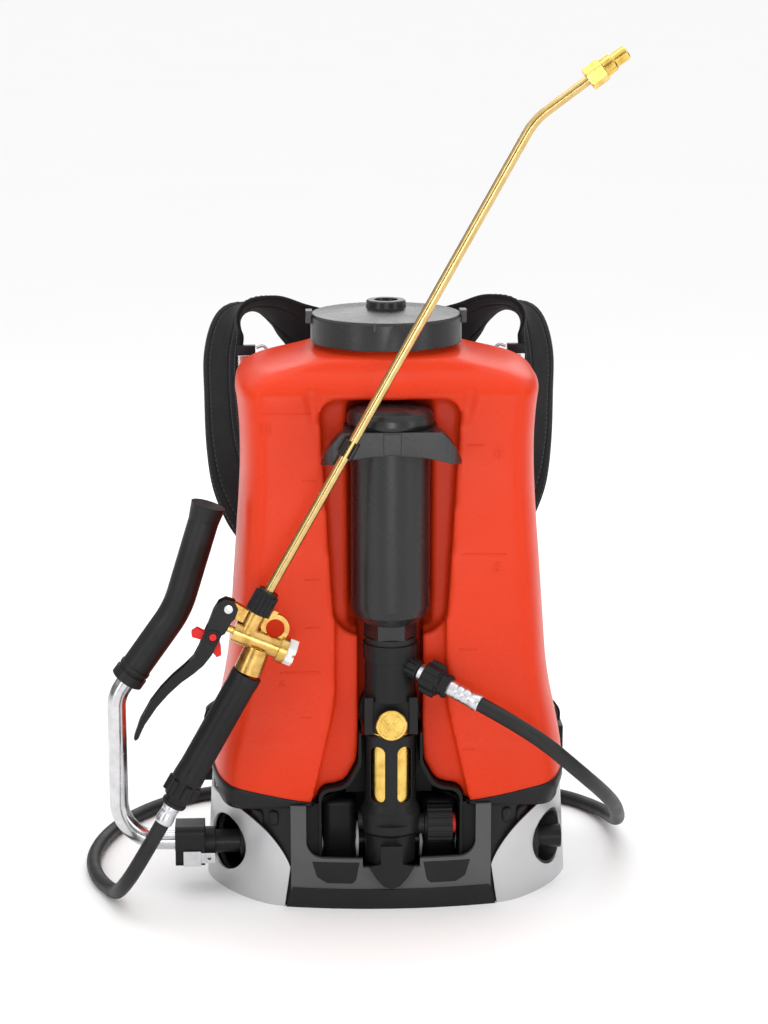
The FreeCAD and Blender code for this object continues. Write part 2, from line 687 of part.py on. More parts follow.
def pump_head():
    """The valve block over the cylinder, with inlet, outlet and the vessel's seat."""
    body = rod(pump_point(HEAD_LOW), pump_point(214), HEAD_RADIUS - 0.6)
    collar = rod(pump_point(212), pump_point(HEAD_HIGH), HEAD_RADIUS + 1)
    rails = fuse(box(-22, -15, PUMP_Y - 17.5, PUMP_Y + 6, HEAD_LOW, 182),
                 box(15, 22, PUMP_Y - 17.5, PUMP_Y + 6, HEAD_LOW, 182))
    spigot = rod(OUTLET_START - OUTLET_WAY * 6, OUTLET_START + OUTLET_WAY * 11, 8.2)
    flange = rod(V(0, -60.0, INLET_Z), V(0, -48.6, INLET_Z), 25.5)
    flange = flange.cut(box(-30, 30, -61, -56.0, 130, HEAD_LOW))
    head = fuse(body, collar, rails, spigot, flange)
    head = head.cut(box(-14.8, 14.8, PUMP_Y - 30, PUMP_Y - 14, HEAD_LOW - 1, 178))
    head = head.cut(rod(pump_point(HEAD_LOW - 1), pump_point(166), 11.0))
    head = head.cut(rod(pump_point(165), pump_point(190), 4.5))
    head = head.cut(rod(pump_point(189), pump_point(HEAD_HIGH + 1), 13.6))
    bolt = rod(V(0, PUMP_Y - 30, INLET_Z), V(0, PUMP_Y + 30, INLET_Z), INLET_BOLT)
    head = head.cut(bolt)
    for k in range(9):
        groove = rod(OUTLET_START + OUTLET_WAY * 1, OUTLET_START + OUTLET_WAY * 12, 0.8)
        groove.translate(V(0, 0, 8.4))
        groove.rotate(OUTLET_START, OUTLET_WAY, 40 * k)
        head = head.cut(groove)
    return head.cut(rod(OUTLET_START - OUTLET_WAY * 9, OUTLET_START + OUTLET_WAY * 12, 4.0))


INLET_BOLT = 6.0


def inlet_bolt():
    """The brass hollow bolt that ties the valve block to the tank's suction port."""
    front, back = PUMP_Y - 26.5, -36.0
    head = turned([(0, 0), (12.2, 0), (13, 0.8), (13, 4.2), (0, 4.2)], V(0, front, INLET_Z), Y_AXIS)
    groove = turned([(9.4, -1), (10.6, -1), (10.6, 0.7), (9.4, 0.7)],
                    V(0, front, INLET_Z), Y_AXIS)
    star = []
    for k in range(4):
        petal = box(-1.1, 1.1, front - 1, front + 0.7, INLET_Z + 2.5, INLET_Z + 8.0)
        petal.rotate(V(0, 0, INLET_Z), Y_AXIS, 90 * k + 45)
        star.append(petal)
    collar = rod(V(0, front + 4, INLET_Z), V(0, PUMP_Y - 14, INLET_Z), 9.0)
    shank = rod(V(0, front + 4, INLET_Z), V(0, back, INLET_Z), INLET_BOLT)
    bolt = fuse(head, collar, shank).cut(groove)
    for petal in star:
        bolt = bolt.cut(petal)
    return bolt.cut(rod(V(0, PUMP_Y - 8, INLET_Z), V(0, back + 1, INLET_Z), 3.0))


def port_gland():
    """The nut inside the tank that the inlet bolt screws into, with the suction elbow."""
    nut = rod(V(0, -45.3, INLET_Z), V(0, -37, INLET_Z), 15.0)
    elbow = rod(V(0, -40, INLET_Z), V(0, -22, INLET_Z), 9.0)
    drop = rod(V(0, -30, 106), V(0, -30, INLET_Z), 6.0)
    foot = rod(V(0, -30, 95), V(0, -30, 110), 13.0)
    whole = fuse(nut, elbow, drop, foot)
    whole = whole.cut(rod(V(0, -46, INLET_Z), V(0, -36, INLET_Z), INLET_BOLT))
    whole = whole.cut(rod(V(0, -37, INLET_Z), V(0, -27, INLET_Z), 5.0))
    whole = whole.cut(rod(V(0, -30, 94), V(0, -30, INLET_Z), 4.0))
    for k in range(6):
        slot = box(8, 15, -1.5, 1.5, 94, 106)
        slot.rotate(V(0, 0, 0), Z_AXIS, 60 * k)
        slot.translate(V(0, -30, 0))
        whole = whole.cut(slot)
    return whole


def vessel_gasket():
    return pipe(pump_point(HEAD_HIGH), pump_point(231), HEAD_RADIUS - 0.8, 13.7)


def air_vessel():
    """The black pressure vessel, with its hexagon and threaded stub below."""
    r, w = VESSEL_RADIUS, VESSEL_WALL
    low, high = VESSEL_LOW, VESSEL_HIGH
    outside = [(0, low), (20, low), (26, low + 2.5), (r - 1.5, low + 9), (r, low + 15), (r, high),
               (r - 4, high + 6), (r - 14, high + 10.5), (0, high + 12)]
    shell = turned(outside, pump_point(0), Z_AXIS)
    hexa = hexagon(pump_point(231), pump_point(low + 2), 38.0)
    stub = rod(pump_point(200), pump_point(232), 13.5)
    shell = fuse(shell, hexa, stub)
    inside = [(0, low + 4), (20, low + 5), (r - w, low + 16), (r - w, high - 1),
              (r - w - 12, high + 7), (0, high + 8.5)]
    shell = shell.cut(turned(inside, pump_point(0), Z_AXIS))
    return shell.cut(rod(pump_point(199), pump_point(low + 6), 8.0))


HOLDER_BACK, HOLDER_FRONT = -67.6, -114.0


def wand_holder():
    """The winged bracket round the vessel that clamps it and carries the spray tube."""
    top = Part.Arc(V(-57, 0, 383), V(0, 0, 424), V(57, 0, 383)).toShape()
    low = Part.Arc(V(57, 0, 380), V(0, 0, 390), V(-57, 0, 380)).toShape()
    ends = [Part.LineSegment(V(57, 0, 383), V(57, 0, 380)).toShape(),
            Part.LineSegment(V(-57, 0, 380), V(-57, 0, 383)).toShape()]
    face = Part.Face(Part.Wire([top, ends[0], low, ends[1]]))
    face.translate(V(0, HOLDER_FRONT, 0))
    wings = face.extrude(V(0, HOLDER_BACK - HOLDER_FRONT, 0))
    sweep = rod(pump_point(370), pump_point(430), 60.0)
    wings = wings.common(box(-60, 60, HOLDER_FRONT, HOLDER_BACK, 370, 409)).common(sweep)
    back = fuse(box(-60, -38, -96, -60, 370, 430), box(38, 60, -96, -60, 370, 430))
    rib = box(-7, 7, HOLDER_FRONT - 1.2, HOLDER_FRONT + 2, 391, 408)
    holder = fuse(wings.cut(back), rib)
    holder = holder.cut(rod(pump_point(360), pump_point(440), VESSEL_RADIUS + 0.1))
    return holder.fuse(wand_clip()).removeSplitter()


def vessel_crown():
    """The domed cover on top of the vessel."""
    low = 409.3
    dome = turned([(33.4, low), (35.2, low), (35.6, low + 3), (35.4, low + 8), (33.2, low + 12),
                   (26, low + 14.6), (12, low + 16), (0, low + 16.2), (0, low + 13.2),
                   (22, low + 12.2), (31, low + 8), (33.4, low + 4)], pump_point(0), Z_AXIS)
    return dome


KNOB_STEM = 4.0


def relief_knob():
    """The ribbed knob at the side of the pump's foot, with its stem bore."""
    knob = ribbed(pump_point(66, 31.0), pump_point(66, 52.0), 15.5, 14, 1.3)
    waist = rod(pump_point(66, 29.0), pump_point(66, 31.5), 11.0)
    stem = rod(pump_point(66, 20.6), pump_point(66, 32), KNOB_STEM)
    return fuse(knob, waist, stem).cut(rod(pump_point(66, 49), pump_point(66, 53), 8.5))


def knob_badge():
    """The red end disc of the knob."""
    return turned([(0, 49.1), (8.5, 49.1), (8.5, 54.2), (7.7, 55), (0, 55)],
                  pump_point(66), X_AXIS)


BALL_RADIUS = 6.5


def outlet_ball():
    """The delivery check ball on its seat in the valve block."""
    seat_height = math.sqrt(BALL_RADIUS ** 2 - 4.5 ** 2)
    return Part.makeSphere(BALL_RADIUS, pump_point(190 + seat_height + 0.02))


# ---------------------------------------------------------------- lever
LEVER_FOOT = V(-157.0, SHAFT_Y, SHAFT_Z)


def lever_coupling():
    """The moulded block that plugs the lever into the shaft."""
    x0, x1 = -182.0, LEVER_FOOT.x
    block = box(x0, x1, SHAFT_Y - 16, SHAFT_Y + 15, SHAFT_Z - 18, SHAFT_Z + 17)
    block = block.makeFillet(6, [e for e in block.Edges if abs(e.tangentAt(0).x) > 0.9])
    neck = rod(LEVER_FOOT - V(1, 0, 0), V(-146, SHAFT_Y, SHAFT_Z), 12.5)
    plug = rod(V(-149, SHAFT_Y, SHAFT_Z), V(-SHAFT_HALF + 28, SHAFT_Y, SHAFT_Z), SHAFT_BORE)
    whole = fuse(block, neck.cut(rod(V(-148, SHAFT_Y, SHAFT_Z), V(-140, SHAFT_Y, SHAFT_Z), 20)),
                 plug)
    whole = whole.cut(rod(V(-190, SHAFT_Y, SHAFT_Z + 1.2), V(-165, SHAFT_Y, SHAFT_Z + 1.2), LEVER_TUBE))
    return whole.cut(latch_block(0.25))


def latch_block(growth):
    """The sliding latch on the front of the coupling."""
    g = growth
    y0, y1 = SHAFT_Y - 18.6, SHAFT_Y - 12.5
    thumb = box(-175 - g, -160 + g, y0 - g, y1 + g, 25 - g, 38 + g)
    bar = box(-162, -148 + g, y0 + 1.6 - g, y1 + g, 27 - g, 36 + g)
    if growth:
        thumb = box(-182, -160 + g, y0 - g, y1 + g, 25 - g, 38 + g)
    return fuse(thumb, bar)


def lever_latch():
    latch = latch_block(0)
    return latch.cut(rod(V(-153, -70, 31.5), V(-153, -50, 31.5), 1.6))


def lever_tube():
    """The bent tube from the coupling to the hand grip."""
    points = [V(-167, SHAFT_Y, SHAFT_Z + 1.2), V(LEVER_X, SHAFT_Y, SHAFT_Z + 1.2),
              V(LEVER_X, SHAFT_Y, 172), V(-205, SHAFT_Y, 207)]
    return bent_tube(points, LEVER_TUBE, [36.0, 30.0])[0]


GRIP_POINTS = [V(-221, SHAFT_Y, 185), V(-177, SHAFT_Y, 247), V(-149.5, SHAFT_Y, 336)]


def lever_grip():
    """The moulded hand grip, bent in the middle and flared at its end."""
    grip = bent_tube(GRIP_POINTS, 12.8, [90.0])[0]
    low = (GRIP_POINTS[1] - GRIP_POINTS[0]).normalize()
    high = (GRIP_POINTS[2] - GRIP_POINTS[1]).normalize()
    collar = rod(GRIP_POINTS[0] + low * 1, GRIP_POINTS[0] + low * 9, 14.3)
    ring = rod(GRIP_POINTS[0] + low * 12, GRIP_POINTS[0] + low * 15, 13.7)
    end = taper(GRIP_POINTS[2] - high * 14, GRIP_POINTS[2], 12.9, 14.6)
    grip = fuse(grip, collar, ring, end)
    return grip.cut(lever_tube())


# ---------------------------------------------------------------- spray gun
def gun(u, v, w=0.0):
    """A point of the gun: u up its axis, v towards the trigger and w to the back."""
    s, c = math.sin(GUN_LEAN), math.cos(GUN_LEAN)
    return GRIP_TOP + V(u * s - v * c, w, u * c + v * s)


def gun_way(u, v):
    return gun(u, v) - gun(0, 0)


def gun_plate(outline, w0, w1):
    """An outline of (u, v) points, swept across the gun."""
    return prism([gun(u, v, w0) for u, v in outline], V(0, w1 - w0, 0))


def barrel_point(share):
    """A point on the valve barrel's axis, 0 at the trigger side and 1 at its cap."""
    (u0, v0), (u1, v1) = BARREL_FOOT, BARREL_HEAD
    return gun(u0 + (u1 - u0) * share, v0 + (v1 - v0) * share)


def valve_body():
    """The brass body: valve barrel, tube neck, grip socket, trigger ear and hanging eye."""
    foot, head = barrel_point(0), barrel_point(1)
    barrel = rod(foot, head, 9.0)
    flange = rod(barrel_point(0.86), head, 11.5)
    neck = rod(gun(28, TUBE_OFFSET - 1), gun(49.2, TUBE_OFFSET), 8.0)
    stub = rod(gun(46, TUBE_OFFSET), gun(58, TUBE_OFFSET), 6.6)
    socket = taper(gun(2.0, 0.3), gun(24, 3), 11.6, 10.5)
    plug = rod(gun(-14, 0), gun(0, 0), 8.9)
    ear = gun_plate([(47.5, 17), (48.5, 36), (45.5, 43.5), (41, 44.8), (37, 42), (36.3, 36),
                     (36.8, 24), (33, 17)], -3.9, 3.9)
    strut = gun_plate([(30, 14), (33, 34), (28, 33), (24, 14)], -3.0, 3.0)
    strut = strut.cut(gun_plate([(20, 27.0), (40, 27.0), (40, 60), (20, 60)], -9, 9))
    loop = pipe(gun(45, -1.5, -2.6), gun(45, -1.5, 2.6), 11.5, 7.6)
    web = gun_plate([(57, 12), (58, 2), (52, 4), (46, 12)], -2.6, 2.6)
    for_nut = rod(gun(49.2, TUBE_OFFSET), gun(70, TUBE_OFFSET), 10.8)
    web, loop = web.cut(for_nut), loop.cut(for_nut)
    link = gun_plate([(38, -12), (42, -8), (34, 4), (28, -8)], -2.6, 2.6)
    body = fuse(barrel, flange, neck, stub, socket, plug, ear, strut, loop, web, link)
    body = body.cut(rod(gun(45, -1.5, -9), gun(45, -1.5, 9), 7.6))
    body = body.cut(rod(barrel_point(-0.1), barrel_point(0.6), STEM_RADIUS + RUNNING))
    body = body.cut(rod(barrel_point(0.5), barrel_point(1.1), 6.0))
    body = body.cut(rod(gun(30, TUBE_OFFSET), gun(60, TUBE_OFFSET), TUBE_RADIUS))
    body = body.cut(rod(gun(-15, 0), gun(24, 3), 4.5))
    pin = rod(gun(*TRIGGER_PIVOT, -10), gun(*TRIGGER_PIVOT, 10), TRIGGER_PIN + RUNNING)
    return body.cut(pin)


STEM_RADIUS = 3.0
TRIGGER_PIN = 2.5


def valve_stem():
    """The brass push stem, with its valve disc inside the barrel."""
    stem = rod(barrel_point(-0.112), barrel_point(0.62), STEM_RADIUS)
    disc = rod(barrel_point(0.56), barrel_point(0.62), 5.2)
    return fuse(stem, disc)


def valve_spring():
    """The closing spring between the valve disc and the barrel's cap."""
    start, end = barrel_point(0.625), barrel_point(0.97)
    way = (end - start).normalize()
    length, wire, radius, turns, steps = (end - start).Length - 1.4, 0.55, 4.4, 4, 8
    points = []
    for k in range(turns * steps + 1):
        a = 2 * math.pi * k / steps
        rise = 0.7 + length * k / (turns * steps)
        points.append(start + way * rise + Y_AXIS * (radius * math.cos(a))
                      + way.cross(Y_AXIS) * (radius * math.sin(a)))
    return bent_tube(points, wire)[0]


def valve_cap():
    """The white screw cap of the valve barrel."""
    way = (barrel_point(1) - barrel_point(0)).normalize()
    head = barrel_point(1)
    plug = rod(head - way * 1.5, head + way * 0.5, 5.9)
    disc = hexagon(head + way * 0.2, head + way * 7.5, 19.0)
    slot = box(-1.2, 1.2, -12, 12, 5.6, 9)
    slot.Placement = FreeCAD.Placement(head, FreeCAD.Rotation(Z_AXIS, way))
    return fuse(plug, disc).cut(slot)


def trigger():
    """The squeeze lever: a forked cheek plate at the pivot and a long curved blade."""
    outline = [(49, 38), (47.5, 45.5), (42.5, 49), (34, 49.5), (22, 47.8), (12, 47.2), (2, 45.4),
               (-8, 45.2), (-18, 48), (-30, 52.4), (-44, 56), (-58, 58), (-76, 58),
               (-90, 55.6), (-91.5, 53.6), (-89, 52), (-76, 53), (-58, 51.4), (-44, 48.4),
               (-30, 43.8), (-19, 38.6), (-9, 34.9), (2, 33.2), (10, 33.6), (20, 34.0),
               (22.5, 32.4), (33.2, 32.4), (38, 31.2), (45, 32.5)]
    blade = gun_plate(outline, -6.8, 6.8)
    fork = rod(gun(*TRIGGER_PIVOT, -4.3), gun(*TRIGGER_PIVOT, 4.3), 9.6)
    fork = fork.fuse(gun_plate([(52, 26), (52, 40), (33.4, 40), (33.4, 26)], -4.3, 4.3))
    gate = gun_plate([(-6, 24), (22.4, 24), (22.4, 60), (-6, 60)], -4.3, 4.3)
    blade = blade.cut(fork).cut(gate)
    for u, v, r in ((*TRIGGER_PIVOT, TRIGGER_PIN), (*LOCK_PIVOT, LOCK_PIN + RUNNING)):
        blade = blade.cut(rod(gun(u, v, -10), gun(u, v, 10), r))
    groove = gun_plate([(-12, 60), (-12, 44.5), (-30, 49.6), (-58, 55.6), (-80, 56), (-80, 60)],
                       -3.5, 3.5)
    return blade.cut(groove)


LOCK_PIN = 3.0


def trigger_pin():
    """The steel rivet on which the trigger turns."""
    shank = rod(gun(*TRIGGER_PIVOT, -7.2), gun(*TRIGGER_PIVOT, 7.2), TRIGGER_PIN)
    heads = [turned([(0, 0), (4.0, 0), (3.4, 1.0), (0, 1.4)], gun(*TRIGGER_PIVOT, side * 6.85),
                    V(0, side, 0)) for side in (-1, 1)]
    return fuse(shank, *heads)


def trigger_lock():
    """The red rocker that blocks the trigger, with its own pin."""
    outline = [(18.5, 43.5), (15, 46.5), (15, 54), (10, 56.5), (6.8, 54), (8.6, 46), (8.6, 38),
               (3.6, 33.6), (1.4, 28.6), (4.6, 26.2), (10, 29.6), (14.6, 34), (18.6, 37.4)]
    pin = rod(gun(*LOCK_PIVOT, -7.6), gun(*LOCK_PIVOT, 7.6), LOCK_PIN)
    return fuse(gun_plate(outline, -3.9, 3.9), pin)


def hand_grip():
    """The black hand grip, a ribbed tube."""
    sleeve = turned([(9.0, 0), (12.6, 0), (12.9, -4), (12.4, -12), (12.4, -90), (13, -98),
                     (13, -103), (9.0, -103)], gun(0, 0), gun_way(1, 0))
    for k in range(10):
        groove = rod(gun(-15, 13.3), gun(-94, 13.3), 1.3)
        groove.rotate(gun(0, 0), gun_way(1, 0), 36 * k)
        sleeve = sleeve.cut(groove)
    return sleeve


def grip_filter():
    """The strainer tube inside the hand grip."""
    tube = pipe(gun(-90, 0), gun(-20, 0), 6.5, 5.3)
    collar = pipe(gun(-94, 0), gun(-90, 0), 8.8, 5.3)
    tube = tube.fuse(collar).removeSplitter()
    for k in range(4):
        slot = gun_plate([(-84, 4), (-28, 4), (-28, 9), (-84, 9)], -1.5, 1.5)
        slot.rotate(gun(0, 0), gun_way(1, 0), 90 * k)
        tube = tube.cut(slot)
    return tube


def union_nut(start, way, bore):
    """A lobed plastic union nut: a wide lobed part and a narrower tail."""
    length, tail, radius = 16.0, 8.0, 11.6
    nut = Part.makeCylinder(radius, length)
    for k in range(6):
        a = math.radians(60 * k + 12)
        lobe = Part.makeCylinder(3.4, length - 3, V(11.2 * math.cos(a), 11.2 * math.sin(a), 1.5))
        nut = nut.fuse(lobe)
    nut = nut.fuse(Part.makeCylinder(9.6, length + tail)).fuse(
        Part.makeCylinder(10.4, 2.4, V(0, 0, length + tail - 3.4)))
    nut = nut.removeSplitter().cut(Part.makeCylinder(bore, length + tail + 4, V(0, 0, -2)))
    nut.Placement = FreeCAD.Placement(start, FreeCAD.Rotation(Z_AXIS, way))
    return nut


def union_nuts():
    """The two union nuts of the hose, one at the pump's outlet and one at the grip."""
    bore = HOSE_RADIUS + 1.4
    return Part.makeCompound([
        union_nut(OUTLET_START + OUTLET_WAY * 16.5, OUTLET_WAY, bore),
        union_nut(gun(-103.3, 0), gun_way(-1, 0), bore)])


def tube_nut():
    """The ribbed nut that clamps the spray tube."""
    start, end = gun(49.6, TUBE_OFFSET), gun(66.5, TUBE_OFFSET)
    nut = ribbed(start, end, 10.2, 16, 1.0)
    nut = nut.fuse(rod(gun(66, TUBE_OFFSET), gun(69.5, TUBE_OFFSET), 8.4))
    nut = nut.cut(rod(gun(49, TUBE_OFFSET), gun(58.6, TUBE_OFFSET), 6.6 + RUNNING))
    return nut.cut(rod(gun(50, TUBE_OFFSET), gun(72, TUBE_OFFSET), TUBE_RADIUS + RUNNING))


def nozzle_way():
    return V(math.sin(NOZZLE_LEAN), 0, math.cos(NOZZLE_LEAN))


def nozzle_point(along):
    """A point beyond the spray tube's bend."""
    return gun(TUBE_BEND, TUBE_OFFSET) + nozzle_way() * along


def spray_tube():
    """The brass spray tube, bent near its end."""
    points = [gun(34, TUBE_OFFSET), gun(TUBE_BEND, TUBE_OFFSET), nozzle_point(NOZZLE_RUN - 2)]
    return bent_tube(points, TUBE_RADIUS, [55.0])[0]


def nozzle_body():
    """The brass hexagon soldered to the end of the tube."""
    start, end = nozzle_point(NOZZLE_RUN - 9), nozzle_point(NOZZLE_RUN + 5.5)
    body = hexagon(start, end, 17.0).common(
        turned([(0, -1), (8, -1), (9.6, 1.2), (9.6, 13.4), (8.6, 15.6), (0, 15.6)], start, end - start))
    stub = rod(end - nozzle_way(), nozzle_point(NOZZLE_RUN + 14), 4.0)
    body = fuse(body, stub).cut(rod(start - nozzle_way(), nozzle_point(NOZZLE_RUN - 2), TUBE_RADIUS))
    return body.cut(rod(start, nozzle_point(NOZZLE_RUN + 16), 1.5))


def nozzle_tip():
    """The turning brass tip that sets the spray."""
    at = NOZZLE_RUN + 5.8
    tip = turned([(4.05, 0), (7.6, 0), (7.6, 8.5), (6.4, 9.6), (6.0, 10.2), (6.0, 21), (5.2, 22),
                  (1.2, 22), (1.2, 12), (4.05, 10.5)], nozzle_point(at), nozzle_way())
    for k in range(12):
        groove = Part.makeCylinder(0.7, 8.5, V(7.9, 0, 0.2))
        groove.rotate(V(0, 0, 0), Z_AXIS, 30 * k)
        groove.Placement = FreeCAD.Placement(
            nozzle_point(at), FreeCAD.Rotation(Z_AXIS, nozzle_way())).multiply(groove.Placement)
        tip = tip.cut(groove)
    return tip


def wand_clip():
    """The open clip on the holder's left wing that grips the spray tube."""
    centre = gun(57.5 + 144.6, TUBE_OFFSET)
    way = gun_way(1, 0).normalize()
    ring = pipe(centre - way * 7, centre + way * 7, 6.4, TUBE_RADIUS)
    side, foot = way.cross(Y_AXIS).normalize(), centre - way * 8
    mouth = prism([foot + side * 3.4 - Y_AXIS * 8, foot - side * 3.4 - Y_AXIS * 8,
                   foot - side * 2.4, foot + side * 2.4], way * 16)
    ring = ring.cut(mouth)
    stalk = rod(centre + V(0, 4.6, 0), V(centre.x, HOLDER_FRONT + 1, centre.z), 3.2)
    return ring.fuse(stalk).cut(rod(centre - way * 9, centre + way * 9, TUBE_RADIUS))


# ---------------------------------------------------------------- hose
def hose_route():
    """The hose's route by hand: down past the tank's right, behind the base, round to the gun."""
    start = OUTLET_START + OUTLET_WAY * FERRULE_END
    end = gun(-GUN_FERRULE_END, 0)
    grip = gun_way(1, 0)
    return [start, start + OUTLET_WAY * 50, V(156, -126, 124), V(188, -78, 84), V(204, -6, 44),
            V(211, 62, 15), V(203, 118, 6.6), V(168, 160, 6.5), V(100, 180, 6.4), V(10, 177, 6.4),
            V(-80, 186, 6.4), V(-152, 182, 6.4), V(-204, 148, 6.4), V(-242, 90, 6.4),
            V(-258, 24, 6.4), V(-253, -32, 6.4), V(-233.5, -75, 6.6), V(-225, -105, 21.9),
            end - grip * 44, end]


def hose():
    solid, length, radii, error = bent_tube(hose_route(), HOSE_RADIUS)
    print("hose length %.0f, radii %s, volume error %.4f"
          % (length, [round(r) for r in radii], error))
    return solid


def outlet_ferrule():
    """The crimped ferrule on the pump end of the hose."""
    start, end = OUTLET_START + OUTLET_WAY * 11.2, OUTLET_START + OUTLET_WAY * FERRULE_END
    barrel = rod(start, end - OUTLET_WAY * 10, HOSE_RADIUS + 0.9)
    barrel = barrel.fuse(rod(end - OUTLET_WAY * 10, end, HOSE_RADIUS + 1.3))
    return barrel.cut(rod(start - OUTLET_WAY, end - OUTLET_WAY * 2, 4.0))


def gun_ferrule():
    """The crimped ferrule on the gun end of the hose."""
    barrel = fuse(rod(gun(-94.2, 0), gun(-130, 0), HOSE_RADIUS + 0.9),
                  rod(gun(-130, 0), gun(-GUN_FERRULE_END, 0), HOSE_RADIUS + 1.3))
    return barrel.cut(rod(gun(-90, 0), gun(-GUN_FERRULE_END + 2, 0), 4.0))


# ---------------------------------------------------------------- harness
STRAP_HALF, STRAP_THICK = 26.0, 9.0
# centre of the left strap, and the way its width runs
STRAP_STATIONS = [
    (V(-50, 97.5, 436), V(1, 0, 0)),
    (V(-54, 98.5, 449), V(1, 0, 0.08)),
    (V(-77, 103, 465), V(0.58, -0.66, 0.47)),
    (V(-96, 109, 475), V(0.35, -0.85, 0.38)),
    (V(-115, 114, 477), V(0.16, -0.96, 0.24)),
    (V(-131, 117, 464), V(0.5, -0.86, 0.05)),
    (V(-139, 118, 434), V(0.6, -0.8, 0)),
    (V(-139, 117, 394), V(0.62, -0.78, 0)),
    (V(-136, 115, 354), V(0.7, -0.7, 0.05)),
    (V(-128, 112, 321), V(0.85, -0.5, 0.1)),
    (V(-116, 109.5, 298), V(0.95, -0.25, 0.15)),
    (V(-105, 107.5, 283), V(1, -0.1, 0)),
    (V(-98, 106.3, 272), V(1, 0, 0)),
    (V(-96, 106, 264.5), V(1, 0, 0)),
]


def ribbon(stations, half, thick):
    """A flat strap through stations, each a centre and the way its width runs."""
    wires = []
    for k, (centre, wide) in enumerate(stations):
        before, after = stations[max(k - 1, 0)][0], stations[min(k + 1, len(stations) - 1)][0]
        way = (after - before).normalize()
        across = (wide - way * wide.dot(way)).normalize()
        through = way.cross(across)
        a, t = across * half, through * (thick / 2)
        wires.append(Part.makePolygon([centre - a - t, centre + a - t, centre + a + t,
                                       centre - a + t, centre - a - t]))
    return Part.makeLoft(wires, True, False)


def shoulder_strap():
    """The left padded shoulder strap."""
    return ribbon(STRAP_STATIONS, STRAP_HALF, STRAP_THICK)


WEB_STATIONS = [
    (V(-96, 106, 233), V(1, 0, 0)),
    (V(-97, 105, 213), V(0.99, 0.05, 0.05)),
    (V(-106, 102, 181), V(0.93, 0.35, 0.1)),
    (V(-124, 97, 151), V(0.75, 0.65, 0.1)),
    (V(-143, 88, 131), V(0.35, 0.93, 0)),
    (V(-156.5, 79.5, 119.5), V(0.1, 1, 0)),
    (V(-158.4, 78, 107.4), V(0, 1, 0)),
]


def lower_webbing():
    """The webbing from each shoulder strap down to the base."""
    web = ribbon(WEB_STATIONS, 13.0, 2.2)
    return Part.makeCompound([web, mirrored(web)])


def strap_sliders():
    """The slide buckles of the straps, and the blocks that hold the wire rings' ends."""
    plate = box(-19, 19, -3, 3, -12, 12)
    for z in (-6.5, 0.6):
        plate = plate.cut(box(-14.5, 14.5, -5, 5, z, z + 4.6))
    plate.translate(V(-96, 106, 247))
    block = box(-126, -110, 83.0, 92, 416, 448)
    block = block.makeFillet(2, [e for e in block.Edges if e.BoundBox.YMin > 91.9])
    return Part.makeCompound([plate, mirrored(plate), block, mirrored(block)])


def strap_hook():
    """The left hook at the base that holds the webbing."""
    plate = box(-162, -155, 64, 92, 58, 104)
    foot = box(-162, -128, 64, 92, 58, 84)
    return plate.fuse(foot).removeSplitter().cut(base_block(0.93, 0.90, 0, 130))


ANCHOR_X, ANCHOR_Z = (-10.0, 10.0), 434.0


def anchor_holes(depth):
    """The holes for the strap bracket's screws, down to a depth in Y."""
    holes = [rod(V(x, depth, ANCHOR_Z), V(x, 90, ANCHOR_Z), 2.0 + RUNNING) for x in ANCHOR_X]
    return holes[0].fuse(holes[1])


def strap_anchor():
    """The bracket at the top of the tank's back that both straps hang from."""
    plate = fuse(box(-80, 80, 80.2, 83.0, 424, 446), box(-125, 125, 80.2, 83.0, 428, 440))
    for side in (-1, 1):
        loop = box(-28, 28, 82.5, 92, -3, 3)
        loop = loop.cut(box(-25.5, 25.5, 82, 89, -4, 4))
        loop.translate(V(side * 50, 0, 433))
        plate = plate.fuse(loop)
    ring = wire_ring()
    return fuse(plate, ring, mirrored(ring)).cut(anchor_holes(70))


def anchor_screws():
    """Two screws that hold the strap bracket to the tank."""
    return Part.makeCompound([
        turned([(0, 0), (2.0, 0), (2.0, 5.8), (4.2, 5.8), (3.6, 7.9), (0, 8.3)],
               V(x, 77.4, ANCHOR_Z), Y_AXIS) for x in ANCHOR_X])


def wire_ring():
    """The left steel wire ring beside the strap's padded part."""
    points = [V(-98, 82.5, 434), V(-98, 91, 441), V(-103, 92, 447), V(-109.2, 90, 445)]
    return bent_tube(points, 1.4, [5.0, 4.0])[0]


# ---------------------------------------------------------------- write
SINGLE = [
    base_shell, base_screws, front_frame, buffer_pads, socket_ring, bay_liner, bearing_towers,
    shaft_bushes, tank, cap, cap_seal, vent_flap, filler_strainer, pump_housing, pump_cylinder,
    piston, piston_seal, piston_rod, crank_arm, crank_pin, lever_shaft, pump_head, inlet_bolt,
    port_gland, vessel_gasket, air_vessel, wand_holder, vessel_crown, relief_knob, knob_badge,
    outlet_ball, lever_coupling, lever_latch, lever_tube, lever_grip, valve_body, valve_stem,
    valve_spring, valve_cap, trigger, trigger_pin, trigger_lock, hand_grip, grip_filter,
    union_nuts, tube_nut, spray_tube, nozzle_body, nozzle_tip, hose, outlet_ferrule, gun_ferrule,
    strap_anchor, anchor_screws, lower_webbing, strap_sliders,
]
PAIRS = [(side_panel, "right", "left"), (shoulder_strap, "left", "right")]


def main():
    os.makedirs("parts", exist_ok=True)
    made = {make.__name__: make() for make in SINGLE}
    for make, here, there in PAIRS:
        shape = make()
        made["%s_%s" % (make.__name__, here)] = shape
        made["%s_%s" % (make.__name__, there)] = mirrored(shape)
    for name, shape in made.items():
        if not shape.isValid() or shape.Volume <= 0:
            print("CHECK", name, shape.isValid(), shape.Volume)
        shape.exportStep("parts/%s.step" % name)
    print(len(made), "nodes")


main()
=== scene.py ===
"""Looks of the knapsack pump sprayer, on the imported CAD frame, in metres."""
import math

import bmesh
import bpy
from mathutils import Matrix, Vector
from mathutils.bvhtree import BVHTree


